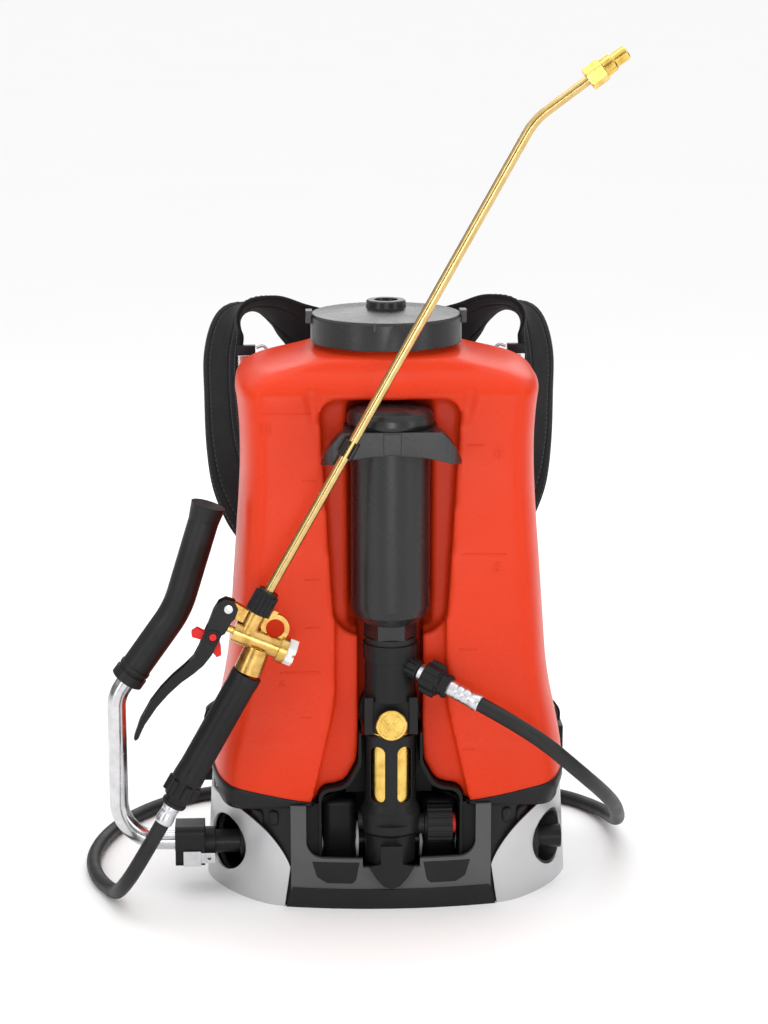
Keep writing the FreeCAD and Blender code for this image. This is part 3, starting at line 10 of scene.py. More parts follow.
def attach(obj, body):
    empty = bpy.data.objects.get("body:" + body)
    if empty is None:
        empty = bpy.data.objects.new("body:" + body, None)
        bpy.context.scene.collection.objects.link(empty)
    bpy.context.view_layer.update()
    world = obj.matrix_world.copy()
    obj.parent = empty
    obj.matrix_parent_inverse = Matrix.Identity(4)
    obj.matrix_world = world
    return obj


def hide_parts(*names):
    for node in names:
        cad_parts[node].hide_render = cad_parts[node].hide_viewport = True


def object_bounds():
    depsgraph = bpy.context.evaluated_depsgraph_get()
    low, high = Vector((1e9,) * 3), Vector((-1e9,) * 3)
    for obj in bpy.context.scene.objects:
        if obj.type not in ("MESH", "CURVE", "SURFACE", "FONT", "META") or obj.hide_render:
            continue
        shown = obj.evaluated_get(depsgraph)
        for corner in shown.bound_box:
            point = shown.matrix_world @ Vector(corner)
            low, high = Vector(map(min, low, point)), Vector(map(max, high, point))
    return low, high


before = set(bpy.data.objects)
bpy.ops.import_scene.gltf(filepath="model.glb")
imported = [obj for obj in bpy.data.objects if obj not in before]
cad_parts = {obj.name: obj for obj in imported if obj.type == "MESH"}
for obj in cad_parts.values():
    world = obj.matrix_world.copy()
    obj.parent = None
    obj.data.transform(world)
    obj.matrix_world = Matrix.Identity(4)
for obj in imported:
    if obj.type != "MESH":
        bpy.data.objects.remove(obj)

CAD_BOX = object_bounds()
MM = 0.001
UP = Vector((0, 0, 1))

# ---------------------------------------------------------------- camera
CAMERA_AT = (-0.0946, -2.0829, 0.801)
CAMERA_HEADING = (0.0454, 0.9990)
CAMERA_PITCH = math.radians(13.05)
CAMERA_LENS, SENSOR_HEIGHT, CAMERA_SHIFT = 88.4, 36.0, -0.002


def camera():
    """The camera that the scene is seen through."""
    data = bpy.data.cameras.new("camera")
    data.lens, data.sensor_height, data.sensor_fit = CAMERA_LENS, SENSOR_HEIGHT, "VERTICAL"
    data.shift_x = CAMERA_SHIFT
    eye = bpy.data.objects.new("camera", data)
    bpy.context.scene.collection.objects.link(eye)
    eye.location = CAMERA_AT
    level = math.cos(CAMERA_PITCH)
    east, north = CAMERA_HEADING
    look = Vector((east * level, north * level, -math.sin(CAMERA_PITCH)))
    eye.rotation_euler = look.to_track_quat("-Z", "Y").to_euler()
    bpy.context.scene.camera = eye


def mm(*point):
    """A point given in millimetres."""
    return Vector(point) * MM


def add_piece(name, data, material, body="sprayer"):
    """Links a new piece with its finish; it rides on a body, unless body is None."""
    piece = bpy.data.objects.new(name, data)
    bpy.context.scene.collection.objects.link(piece)
    data.materials.append(material)
    if body:
        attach(piece, body)
    return piece


# ---------------------------------------------------------------- hose
# lengths and places in millimetres, except the hose's own length
HOSE_RADIUS = 6.25
OUTLET_START = Vector((14.0, -88.0, 208.0))
OUTLET_WAY = Vector((0.829, -0.425, -0.364)).normalized()
GRIP_TOP = Vector((-118.4, -122.0, 212.6))
GUN_LEAN = math.radians(29.2)
GRIP_WAY = Vector((math.sin(GUN_LEAN), 0, math.cos(GUN_LEAN)))
# where each crimped ferrule starts and ends, along the outlet and down the grip
FERRULE_START, FERRULE_END = 11.2, 70.0
GUN_FERRULE_START, GUN_FERRULE_END = 94.2, 145.0
HOSE_START = OUTLET_START + OUTLET_WAY * FERRULE_END
HOSE_END = GRIP_TOP - GRIP_WAY * GUN_FERRULE_END
HOSE_ROUTE = [
    HOSE_START, HOSE_START + OUTLET_WAY * 50, (156, -126, 124), (188, -78, 84), (204, -6, 44),
    (211, 62, 15), (203, 118, 6.6), (168, 160, 6.5), (100, 180, 6.4), (10, 177, 6.4),
    (-80, 186, 6.4), (-152, 182, 6.4), (-204, 148, 6.4), (-242, 90, 6.4), (-258, 24, 6.4),
    (-253, -32, 6.4), (-233.5, -75, 6.6), (-225, -105, 21.9), HOSE_END - GRIP_WAY * 44, HOSE_END,
]


def hose(rubber, zinc):
    """The delivery hose, from the ferrule at the pump to the one under the hand grip."""
    data = bpy.data.curves.new("delivery_hose", "CURVE")
    data.dimensions = "3D"
    data.bevel_depth = HOSE_RADIUS * MM
    data.bevel_resolution = 8
    data.resolution_u = 12
    data.use_fill_caps = True
    line = data.splines.new("NURBS")
    line.points.add(len(HOSE_ROUTE) - 1)
    for point, place in zip(line.points, HOSE_ROUTE):
        point.co = (*mm(*place), 1)
    line.order_u = 3
    line.use_endpoint_u = True
    piece = add_piece("delivery_hose", data, rubber)
    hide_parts("hose")
    ends = [
        ferrule("outlet_crimp", OUTLET_START + OUTLET_WAY * FERRULE_START, HOSE_START, zinc,
                "outlet_ferrule"),
        ferrule("gun_crimp", GRIP_TOP - GRIP_WAY * GUN_FERRULE_START, HOSE_END, zinc,
                "gun_ferrule"),
    ]


def ferrule(name, start, end, zinc, node):
    """A crimped sleeve: plain collar, three pressed grooves with eight flats, rolled end."""
    long = (end - start).length
    # radius, and distance from the start
    rows = [(6.4, 0.0), (7.0, 0.3), (7.15, 1.0), (7.15, long - 27)]
    for k in range(3):
        foot = long - 26 + 6.2 * k
        rows += [(7.15, foot), (6.95, foot + 0.5), (6.92, foot + 4.2), (7.15, foot + 4.8)]
    rows += [(7.2, long - 6.6), (7.5, long - 5.6), (7.55, long - 1.4), (7.3, long - 0.5),
             (6.7, long), (6.3, long - 0.2)]
    mesh = bmesh.new()
    sides, flats, press = 64, 8, 0.16
    rings = []
    for radius, height in rows:
        grooved = height > 2 and radius < 7
        ring = []
        for k in range(sides):
            angle = 2 * math.pi * k / sides
            pressed = press * (0.5 + 0.5 * math.cos(flats * angle)) if grooved else 0
            ring.append(mesh.verts.new(around(radius - pressed, angle, height)))
        rings.append(ring)
    bridge(mesh, rings, closed=True)
    lay_along(mesh, start, end - start)
    piece = add_piece(name, to_mesh(name, mesh), zinc)
    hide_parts(node)
    return piece


# ---------------------------------------------------------------- mesh helpers
def bridge(mesh, rings, closed=False):
    """Quads between rings of vertices; closed joins each ring's ends."""
    count = len(rings[0])
    for low, high in zip(rings, rings[1:]):
        for k in range(count if closed else count - 1):
            n = (k + 1) % count
            mesh.faces.new((low[k], low[n], high[n], high[k]))


def close_run(mesh, rings):
    """Joins a run of closed rings to a solid, capped at both ends."""
    bridge(mesh, rings, closed=True)
    mesh.faces.new(rings[0])
    mesh.faces.new(rings[-1][::-1])


def around(radius, angle, height):
    """A point round the Z axis, given in millimetres."""
    return mm(radius * math.cos(angle), radius * math.sin(angle), height)


def lay_along(mesh, start, way):
    """Turns a mesh made round the Z axis to run from start, along way."""
    turn = way.to_track_quat("Z", "Y").to_matrix().to_4x4()
    mesh.transform(Matrix.Translation(start * MM) @ turn)


def to_mesh(name, mesh, smooth=True):
    """Turns a working mesh into mesh data, with its faces pointing outwards."""
    bmesh.ops.recalc_face_normals(mesh, faces=mesh.faces)
    data = bpy.data.meshes.new(name)
    mesh.to_mesh(data)
    mesh.free()
    data.polygons.foreach_set("use_smooth", [smooth] * len(data.polygons))
    return data


def surface_tree(data):
    """A ray-cast tree of a mesh."""
    return BVHTree.FromPolygons([v.co for v in data.vertices],
                                [p.vertices for p in data.polygons])


def settle(piece):
    """Replaces a piece's mesh with the result of its modifiers."""
    graph = bpy.context.evaluated_depsgraph_get()
    made = bpy.data.meshes.new_from_object(piece.evaluated_get(graph))
    made.name = piece.name
    piece.modifiers.clear()
    piece.data = made


def spline_points(points, steps):
    """A Catmull-Rom curve through vectors, steps to a span."""
    ends = [points[0] * 2 - points[1]] + list(points) + [points[-1] * 2 - points[-2]]
    made = []
    for a, b, c, d in zip(ends, ends[1:], ends[2:], ends[3:]):
        for k in range(steps):
            t = k / steps
            made.append(0.5 * (2 * b + (c - a) * t + (2 * a - 5 * b + 4 * c - d) * t ** 2
                               + (3 * b - a - 3 * c + d) * t ** 3))
    return made + [points[-1]]


# ---------------------------------------------------------------- materials
class Finish:
    """A Principled material, with procedural layers in the piece's own space."""

    def __init__(self, name, **sockets):
        self.material = bpy.data.materials.new(name)
        self.material.use_nodes = True
        self.tree = self.material.node_tree
        self.shader = self.tree.nodes["Principled BSDF"]
        for key, value in sockets.items():
            self.shader.inputs[key.replace("_", " ")].default_value = value
        self.space = self.node("TexCoord").outputs["Object"]
        self.normal = None

    def node(self, kind, inputs=None, **settings):
        made = self.tree.nodes.new("ShaderNode" + kind)
        for key, value in settings.items():
            setattr(made, key, value)
        for key, value in (inputs or {}).items():
            if isinstance(value, bpy.types.NodeSocket):
                self.tree.links.new(value, made.inputs[key])
            else:
                made.inputs[key].default_value = value
        return made

    def noise(self, scale, detail=2.0, space=None):
        """Noise from 0 to 1, in the piece's space or in another."""
        return self.node("TexNoise", {"Vector": space or self.space, "Scale": scale,
                                      "Detail": detail}).outputs["Fac"]

    def stretched(self, x, y, z):
        """The piece's space with each axis scaled."""
        return self.node("Mapping", {"Vector": self.space, "Scale": (x, y, z)}).outputs["Vector"]

    def spread(self, value, low, high, start=0.3, end=0.7):
        """Maps a value between start and end to one between low and high."""
        return self.node("MapRange", {"Value": value, "From Min": start, "From Max": end,
                                      "To Min": low, "To Max": high}).outputs["Result"]

    def math(self, operation, *values):
        return self.node("Math", dict(enumerate(values)), operation=operation).outputs[0]

    def tint(self, factor, first, second):
        """A mix of two colours, either of which may be a socket."""
        return self.node("Mix", {0: factor, 6: first, 7: second}, data_type="RGBA").outputs[2]

    def bump(self, height, distance, strength=1.0):
        """Adds relief on top of what the shading has so far."""
        inputs = {"Height": height, "Distance": distance, "Strength": strength}
        if self.normal:
            inputs["Normal"] = self.normal
        self.normal = self.node("Bump", inputs).outputs["Normal"]

    def edges(self, radius):
        """Rounds the shading of sharp edges, and returns 1 on them and 0 on faces."""
        self.normal = self.node("Bevel", {"Radius": radius}, samples=4).outputs["Normal"]
        flat = self.node("NewGeometry").outputs["Normal"]
        along = self.node("VectorMath", {0: self.normal, 1: flat}, operation="DOT_PRODUCT")
        return self.spread(along.outputs["Value"], 1.0, 0.0, 0.80, 0.995)

    def done(self, colour, roughness):
        """Links the layers to the shader, and returns the material."""
        for socket, value in (("Base Color", colour), ("Roughness", roughness),
                              ("Normal", self.normal)):
            if value is not None:
                self.tree.links.new(value, self.shader.inputs[socket])
        return self.material


def rgb(red, green, blue):
    return (red, green, blue, 1.0)


def moulded(name, dark, light, worn, rough, grain=1500, edge=0.0009, specular=0.2):
    """Injection-moulded plastic: fine grain, faint flow tones and paler worn edges."""
    f = Finish(name, Specular_IOR_Level=specular)
    edge_mask = f.edges(edge)
    flow = f.noise(14, 3)
    scuffs = f.spread(f.noise(90, 4, f.stretched(1, 1, 0.35)), 0, 1, 0.58, 0.72)
    f.bump(f.noise(grain, 2), 0.00006, 0.5)
    f.bump(f.noise(grain * 0.21, 2), 0.00008, 0.35)
    colour = f.tint(f.spread(flow, 0, 1), dark, light)
    wear = f.math("MULTIPLY", edge_mask, f.spread(f.noise(160, 3), 0.10, 0.55))
    colour = f.tint(wear, colour, worn)
    base = f.spread(f.noise(38, 3), rough - 0.05, rough + 0.05)
    roughness = f.math("ADD", base, f.math("MULTIPLY", scuffs, 0.07))
    return f.done(colour, roughness)


def tank_plastic():
    """Satin polyethylene, blow-moulded: a soft orange peel and a faint parting line."""
    f = Finish("tank_polyethylene", Specular_IOR_Level=0.16, Subsurface_Weight=0.06,
               Subsurface_Scale=0.006)
    f.shader.inputs["Subsurface Radius"].default_value = (1.0, 0.18, 0.1)
    cloud = f.spread(f.noise(7, 3), 0, 1, 0.25, 0.75)
    colour = f.tint(cloud, rgb(0.66, 0.036, 0.008), rgb(0.73, 0.046, 0.011))
    fine = f.spread(f.noise(420, 2), 0, 0.35, 0.45, 0.8)
    colour = f.tint(fine, colour, rgb(0.77, 0.058, 0.016))
    f.bump(f.noise(60, 3), 0.0006, 0.28)
    f.bump(f.noise(340, 3), 0.00016, 0.32)
    side = f.node("SeparateXYZ", {"Vector": f.space}).outputs["Y"]
    off_line = f.math("ABSOLUTE", f.math("ADD", side, 0.004))
    f.bump(f.spread(off_line, 1, 0, 0.0002, 0.0011), 0.0005, 0.6)
    rough = f.math("ADD", f.spread(f.noise(26, 4), 0.30, 0.40),
                   f.spread(f.noise(520, 2), -0.02, 0.04))
    return f.done(colour, rough)


def painted_silver():
    """Satin silver lacquer with a fine metallic flake."""
    f = Finish("silver_lacquer", Metallic=0.72, Coat_Weight=0.25, Coat_Roughness=0.22)
    edge_mask = f.edges(0.0010)
    flake = f.node("TexVoronoi", {"Vector": f.space, "Scale": 1500.0}).outputs["Distance"]
    f.bump(flake, 0.00003, 0.35)
    f.bump(f.noise(120, 3), 0.00010, 0.3)
    colour = f.tint(f.spread(f.noise(9, 3), 0, 1),
                    rgb(0.50, 0.505, 0.515), rgb(0.57, 0.575, 0.585))
    colour = f.tint(f.math("MULTIPLY", edge_mask, f.spread(f.noise(200, 3), 0.05, 0.6)),
                    colour, rgb(0.40, 0.40, 0.41))
    return f.done(colour, f.spread(f.noise(45, 4), 0.33, 0.44))


def metal(name, light, dark, rough, lines=None, cast=0.0):
    """A bare metal: cloudy tones, fine tool lines, and bright worn edges."""
    f = Finish(name, Metallic=1.0)
    edge_mask = f.edges(0.0006)
    tone = f.spread(f.noise(120, 4), 0, 1, 0.35, 0.7)
    if lines:
        mark = f.noise(400, 3, f.stretched(*lines))
        f.bump(mark, 0.00004, 0.5)
    if cast:
        f.bump(f.noise(260, 4), 0.00022 * cast, 0.6)
    f.bump(f.noise(900, 2), 0.00003, 0.4)
    colour = f.tint(tone, light, dark)
    spots = f.spread(f.noise(420, 5), 0, 0.5, 0.62, 0.75)
    colour = f.tint(spots, colour, dark)
    colour = f.tint(f.math("MULTIPLY", edge_mask, 0.5), colour, light)
    return f.done(colour, f.spread(f.noise(160, 4), rough - 0.05, rough + 0.08))


def rubber_finish(name, tone, rough, lines):
    """Black rubber with a faint moulded texture and dusty patches."""
    f = Finish(name, Specular_IOR_Level=0.3)
    f.edges(0.0008)
    f.bump(f.noise(300, 3, f.stretched(*lines)), 0.00012, 0.4)
    f.bump(f.noise(1700, 2), 0.00006, 0.5)
    dust = f.spread(f.noise(34, 4), 0, 0.6, 0.45, 0.8)
    pale = rgb(*(tone * 2.1 for _ in range(3)))
    colour = f.tint(dust, rgb(tone, tone, tone * 1.04), pale)
    return f.done(colour, f.spread(f.noise(70, 3), rough - 0.06, rough + 0.08))


CLOTH = "cloth"         # name of the layer that holds a band's width and length, in metres


def woven(name, dark, light, pitch, slant=0.0):
    """Woven band: warp and weft threads along the piece's own length and width."""
    f = Finish(name, Sheen_Weight=0.06, Sheen_Roughness=0.45, Specular_IOR_Level=0.1)
    place = f.node("UVMap", uv_map=CLOTH).outputs["UV"]
    parts = f.node("SeparateXYZ", {"Vector": place})
    across, along = parts.outputs["X"], parts.outputs["Y"]
    wave = 2 * math.pi / pitch
    if slant:
        rib = f.math("ABSOLUTE", across)
        along = f.math("ADD", along, f.math("MULTIPLY", rib, slant))
    warp = f.math("SINE", f.math("MULTIPLY", across, wave))
    weft = f.math("SINE", f.math("MULTIPLY", along, wave))
    thread = f.math("MULTIPLY", warp, weft)
    ridge = f.math("ADD", f.math("ABSOLUTE", weft), f.math("MULTIPLY", warp, 0.4))
    f.bump(f.spread(thread, 0, 1, -1, 1), 0.00022, 0.8)
    f.bump(f.spread(ridge, 0, 1, -0.4, 1.4), 0.00020, 0.6)
    f.bump(f.noise(2600, 2), 0.00008, 0.5)
    colour = f.tint(f.spread(thread, 0, 1, -1, 1), dark, light)
    lint = f.spread(f.noise(1100, 3), 0, 0.5, 0.62, 0.8)
    colour = f.tint(lint, colour, rgb(0.10, 0.10, 0.105))
    faded = f.spread(f.noise(24, 3), 0, 0.4, 0.4, 0.8)
    colour = f.tint(faded, colour, light)
    return f.done(colour, f.spread(f.noise(90, 3), 0.72, 0.88))


def thread_finish():
    """Twisted sewing thread."""
    f = Finish("thread", Sheen_Weight=0.3)
    f.bump(f.noise(3200, 2), 0.0001, 0.6)
    colour = f.tint(f.noise(700, 2), rgb(0.02, 0.02, 0.021), rgb(0.065, 0.065, 0.07))
    return f.done(colour, f.spread(f.noise(300, 2), 0.6, 0.75))


def floor_finish():
    """The plain pale floor, a little uneven in tone."""
    f = Finish("studio_floor", Specular_IOR_Level=0.15)
    f.bump(f.noise(120, 2), 0.0002, 0.1)
    colour = f.tint(f.noise(1.5, 2), rgb(0.955, 0.955, 0.955), rgb(0.97, 0.97, 0.97))
    return f.done(colour, f.spread(f.noise(4, 2), 0.7, 0.8))


def make_finishes():
    """Every finish by its short name."""
    black, soot = rgb(0.0085, 0.0085, 0.009), rgb(0.014, 0.014, 0.015)
    grey, slate = rgb(0.070, 0.072, 0.073), rgb(0.088, 0.090, 0.092)
    gold, bronze = rgb(0.86, 0.60, 0.16), rgb(0.62, 0.38, 0.08)
    chrome, rubbed = rgb(0.66, 0.66, 0.67), rgb(0.05, 0.05, 0.052)
    return {
        "tank": tank_plastic(),
        "black": moulded("black_moulding", black, soot, rubbed, 0.38),
        "gloss": moulded("gloss_black_moulding", black, soot, rubbed, 0.28, grain=2200,
                         specular=0.4),
        "grey": moulded("grey_moulding", grey, slate, rgb(0.15, 0.15, 0.155), 0.40),
        # painted shade: a black darker than the other mouldings, for the parts that sit in the
        # bay and in other hollows
        "deep": moulded("deep_moulding", rgb(0.004, 0.004, 0.0042), black, soot, 0.5),
        "silver": painted_silver(),
        "brass": metal("turned_brass", gold, bronze, 0.20, (0.06, 0.06, 1)),
        "tube": metal("drawn_brass", rgb(0.66, 0.47, 0.20), rgb(0.55, 0.38, 0.15), 0.20),
        "cast": metal("cast_brass", rgb(0.74, 0.47, 0.15), rgb(0.46, 0.26, 0.06), 0.25, cast=0.8),
        "steel": metal("bright_steel", chrome, rgb(0.54, 0.54, 0.56), 0.20),
        "black_steel": moulded("black_lacquer", black, soot, rgb(0.09, 0.09, 0.092), 0.32),
        "zinc": metal("zinc_plate", rgb(0.66, 0.67, 0.69), rgb(0.58, 0.59, 0.61), 0.30),
        "rubber": rubber_finish("hose_rubber", 0.011, 0.46, (1, 1, 1)),
        "grip": rubber_finish("grip_rubber", 0.010, 0.40, (1, 1, 0.2)),
        "pad": woven("padded_weave", rgb(0.008, 0.008, 0.009), rgb(0.020, 0.020, 0.022), 0.0016),
        "belt": woven("harness_weave", rgb(0.007, 0.007, 0.008), rgb(0.019, 0.019, 0.021),
                      0.0013, 1.0),
        "binding": woven("binding_weave", rgb(0.006, 0.006, 0.007), rgb(0.015, 0.015, 0.016),
                         0.0010),
        "thread": thread_finish(),
        "white": moulded("white_moulding", rgb(0.74, 0.74, 0.72), rgb(0.80, 0.80, 0.78),
                         rgb(0.9, 0.9, 0.88), 0.36),
        "red": moulded("red_moulding", rgb(0.62, 0.012, 0.014), rgb(0.70, 0.02, 0.02),
                       rgb(0.80, 0.10, 0.08), 0.34),
    }


NODE_FINISH = {
    "black": ["base_shell", "pump_housing", "trigger", "lever_coupling", "pump_head",
              "relief_knob", "hand_grip", "union_nuts", "tube_nut", "strap_sliders",
              "bearing_towers", "buffer_pads", "socket_ring", "filler_strainer"],
    "gloss": ["air_vessel", "vessel_crown", "cap", "wand_holder"],
    "grey": ["front_frame"],
    # painted shade: these parts sit in the bay and other hollows, and get a black darker than the
    # other mouldings
    "deep": ["bay_liner", "port_gland", "grip_filter"],
    "silver": ["side_panel_left", "side_panel_right"],
    "brass": ["pump_cylinder", "inlet_bolt", "valve_stem", "nozzle_body", "nozzle_tip",
              "crank_pin"],
    "tube": ["spray_tube"],
    "cast": ["valve_body"],
    "black_steel": ["lever_shaft", "crank_arm"],
    "steel": ["piston_rod", "lever_latch", "lever_tube", "valve_spring", "trigger_pin",
              "outlet_ball", "strap_anchor"],
    "zinc": ["base_screws", "anchor_screws"],
    "rubber": ["cap_seal", "vent_flap", "vessel_gasket", "piston_seal"],
    "grip": ["lever_grip"],
    "white": ["shaft_bushes", "valve_cap", "piston"],
    "red": ["knob_badge", "trigger_lock"],
}


def finish_nodes(finishes):
    """Gives each CAD node that is shown as it is its finish."""
    for key, names in NODE_FINISH.items():
        for name in names:
            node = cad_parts[name]
            for entry in node.material_slots:
                entry.material = finishes[key]


# ---------------------------------------------------------------- tank
VOXEL, SMOOTH_PASSES = 0.0021, 9        # the voxel in metres


def tank_skin(finishes):
    """The blow-moulded tank, with the soft edges that the moulding gives."""
    data = bpy.data.meshes.new_from_object(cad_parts["tank"])
    data.materials.clear()
    piece = add_piece("tank_skin", data, finishes["tank"], body=None)
    remesh = piece.modifiers.new("remesh", "REMESH")
    remesh.mode, remesh.voxel_size, remesh.use_smooth_shade = "VOXEL", VOXEL, True
    smooth = piece.modifiers.new("smooth", "SMOOTH")
    smooth.factor, smooth.iterations = 0.5, SMOOTH_PASSES
    settle(piece)
    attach(piece, "sprayer")
    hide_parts("tank")
    return piece


# height of the base's upper edge in millimetres: in the middle and at the sides, where the
# rise starts, how wide it is, and the power it follows
RIM_MIDDLE, RIM_SIDE = 88.6, 111.6
RISE_FROM, RISE_WIDTH, RISE_POWER = 58, 88, 1.3
# the rim's two ends in degrees round the tank, and its steps between them
RIM_FIRST, RIM_LAST, RIM_STEPS = -54.5, 234.5, 220
# heights of the rim's lowest seen edge and of its sunk foot, in millimetres
RIM_LOW, RIM_SUNK = 89.2, 85.5
OUTSIDE = 230           # how far out a ray towards the tank's wall starts


def rim_height(x):
    """Height of the line where the tank meets the base, which rises to the sides."""
    share = min(max((abs(x) - RISE_FROM) / RISE_WIDTH, 0), 1)
    return RIM_MIDDLE + (RIM_SIDE - RIM_MIDDLE) * share ** RISE_POWER


def base_rim(finishes):
    """The base's black rim round the tank's foot, from one side of the bay to the other."""
    tree = surface_tree(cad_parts["tank"].data)

    def wall(way, height):
        start = mm(OUTSIDE * way.x, OUTSIDE * way.y, height)
        return tree.ray_cast(start, -way)[0] / MM

    first, last = math.radians(RIM_FIRST), math.radians(RIM_LAST)
    mesh = bmesh.new()
    rings = []
    for k in range(RIM_STEPS + 1):
        angle = first + (last - first) * k / RIM_STEPS
        way = Vector((math.cos(angle), math.sin(angle), 0))
        low = wall(way, RIM_LOW)
        rim = max(rim_height(low.x), RIM_LOW + 0.3)
        mid, top = wall(way, (RIM_LOW + rim) / 2), wall(way, rim)
        sunk = Vector((low.x, low.y, RIM_SUNK))
        profile = [sunk + way * 1.6, low + way * 2.2, mid + way * 2.1, top + way * 1.8 - UP * 0.9,
                   top + way * 1.4 - UP * 0.3, top + way * 0.8, top - way * 0.5,
                   top - way * 1.0 - UP * 2, sunk - way * 1.0]
        rings.append([mesh.verts.new(place * MM) for place in profile])
    close_run(mesh, rings)
    add_piece("base_rim", to_mesh("base_rim", mesh), finishes["black"])


# x from, x to and height of the raised level lines, in millimetres
LEVEL_LINES = [
    (-106, -64, 418.6), (-72, -60, 363), (-70.5, -58, 281), (-71, -58, 240.3),
    (-92, -58, 202.5), (-75, -65, 164.3), (62, 77, 391.5), (58, 96, 300.8), (56, 72, 220.5),
    (59, 71, 135.2),
]
# text, x and height of the raised numbers beside the long lines
LEVEL_NUMBERS = [("10", -103, 402), ("8", 88, 380), ("6", 88, 286), ("4", -90, 188)]
LINE_WIDTH, LINE_STEP, RELIEF = 1.5, 3, 0.55
NUMBER_SIZE, NUMBER_BEVEL = 0.012, 0.00012      # in metres


def front_surface(piece):
    """A function from x and z, in millimetres, to the tank's front surface there."""
    tree = surface_tree(piece.data)
    before = CAD_BOX[0][1] - 0.1

    def at(x, z):
        hit = tree.ray_cast(Vector((x * MM, before, z * MM)), Vector((0, 1, 0)))
        return hit[0] / MM

    return at


def level_marks(tank, finishes):
    """Raised level lines and plain scale numbers on the lobes."""
    at = front_surface(tank)
    mesh = bmesh.new()
    sunk = Vector((0, 0.5, 0))
    for x0, x1, z in LEVEL_LINES:
        steps = max(3, int((x1 - x0) / LINE_STEP))
        rings = []
        for k in range(steps + 1):
            x = x0 + (x1 - x0) * k / steps
            inner = 0 < k < steps           # the line thins out at its ends
            half = LINE_WIDTH / 2 * (1 if inner else 0.35)
            foot, top = at(x, z - half), at(x, z + half)
            out = Vector((0, -RELIEF if inner else -0.1, 0))
            rings.append([mesh.verts.new(p * MM) for p in (
                foot + sunk, foot + out * 0.4, foot + out + UP * 0.35,
                top + out - UP * 0.35, top + out * 0.4, top + sunk)])
        close_run(mesh, rings)
    add_piece("level_lines", to_mesh("level_lines", mesh), finishes["tank"])
    for k, (text, x, z) in enumerate(LEVEL_NUMBERS):
        level_number("level_number_%d" % k, text, x, z, at, finishes)


def level_number(name, text, x, z, at, finishes):
    """A raised number that follows the tank's surface."""
    letters = bpy.data.curves.new(name, "FONT")
    letters.body, letters.size, letters.extrude = text, NUMBER_SIZE, RELIEF * MM
    letters.align_x = "CENTER"
    letters.bevel_depth, letters.resolution_u = NUMBER_BEVEL, 4
    holder = bpy.data.objects.new(name + "_text", letters)
    bpy.context.scene.collection.objects.link(holder)
    graph = bpy.context.evaluated_depsgraph_get()
    data = bpy.data.meshes.new_from_object(holder.evaluated_get(graph))
    bpy.data.objects.remove(holder)
    for vertex in data.vertices:
        right, rise, out = vertex.co
        base = at(x + right / MM, z + rise / MM)
        vertex.co = base * MM + Vector((0, -out, 0))
    data.materials.clear()
    add_piece(name, data, finishes["tank"])


# ---------------------------------------------------------------- harness
PAD_HALF, PAD_THICK = 26.0, 9.0
SEAM, SEAM_WIDTH, SEAM_DEPTH = 0.56, 0.035, 0.34    # the quilting seams, as shares of the pad
BINDING_ROW = 3.4       # from the pad's edge to the binding's stitches
# centre of the left padded strap, and the way its width runs, in millimetres
PAD_STATIONS = [
    ((-50, 97.5, 436), (1, 0, 0)), ((-54, 98.5, 449), (1, 0, 0.08)),
    ((-77, 103, 465), (0.58, -0.66, 0.47)), ((-96, 109, 475), (0.35, -0.85, 0.38)),
    ((-115, 114, 477), (0.16, -0.96, 0.24)), ((-131, 117, 464), (0.5, -0.86, 0.05)),
    ((-139, 118, 434), (0.6, -0.8, 0)), ((-139, 117, 394), (0.62, -0.78, 0)),
    ((-136, 115, 354), (0.7, -0.7, 0.05)), ((-128, 112, 321), (0.85, -0.5, 0.1)),
    ((-116, 109.5, 298), (0.95, -0.25, 0.15)), ((-105, 107.5, 283), (1, -0.1, 0)),
    ((-98, 106.3, 272), (1, 0, 0)), ((-96, 106, 264.5), (1, 0, 0)),
]
# the same for the webbing from the slider to the base, and for its loose tail
WEB_STATIONS = [
    ((-96, 104.6, 243.6), (1, 0, 0)), ((-96, 106, 233), (1, 0, 0)),
    ((-97, 105, 213), (0.99, 0.05, 0.05)), ((-106, 102, 181), (0.93, 0.35, 0.1)),
    ((-124, 97, 151), (0.75, 0.65, 0.1)), ((-143, 88, 131), (0.35, 0.93, 0)),
    ((-156.5, 79.5, 119.5), (0.1, 1, 0)), ((-158.4, 78, 108), (0, 1, 0)),
]
TAIL_STATIONS = [
    ((-96, 107.6, 243.6), (1, 0, 0)), ((-96, 110.6, 238), (1, 0, 0)),
    ((-95.4, 112.4, 222), (1, 0.04, 0)), ((-94, 112.6, 204), (0.99, 0.08, 0.02)),
    ((-93, 111, 188), (0.98, 0.14, 0.04)),
]
# x of the tab that holds the slider, and y and z along it; then the same for the top loop
TAB_X = -96
TAB_PROFILE = [
    (109.6, 288), (110.4, 276), (109.2, 262), (107.4, 254), (106.2, 249.5), (104.4, 253),
    (101.6, 261), (102, 272),
]
LOOP_X = -50
LOOP_PROFILE = [
    (97.4, 447), (97.2, 440), (95.4, 431), (91.8, 426.6), (87.8, 427.6), (86.4, 433),
    (88.2, 440), (92.4, 445), (96.0, 450),
]


def band_frames(stations, steps, side):
    """Centres, across and through directions along a band, and how far along each is."""
    flip = Vector((side, 1, 1))
    centres = spline_points([Vector(c) * flip for c, w in stations], steps)
    widths = spline_points([Vector(w) * flip for c, w in stations], steps)
    made, far = [], 0.0
    for k, centre in enumerate(centres):
        way = (centres[min(k + 1, len(centres) - 1)] - centres[max(k - 1, 0)]).normalized()
        across = (widths[k] - way * widths[k].dot(way)).normalized()
        through = way.cross(across) * side
        far += (centre - centres[k - 1]).length if k else 0
        made.append((centre, across, through, far))
    return made


def level_stations(x, profile):
    """Stations at one x with their width along X, through a profile of y and z."""
    return [((x, y, z), (1, 0, 0)) for y, z in profile]


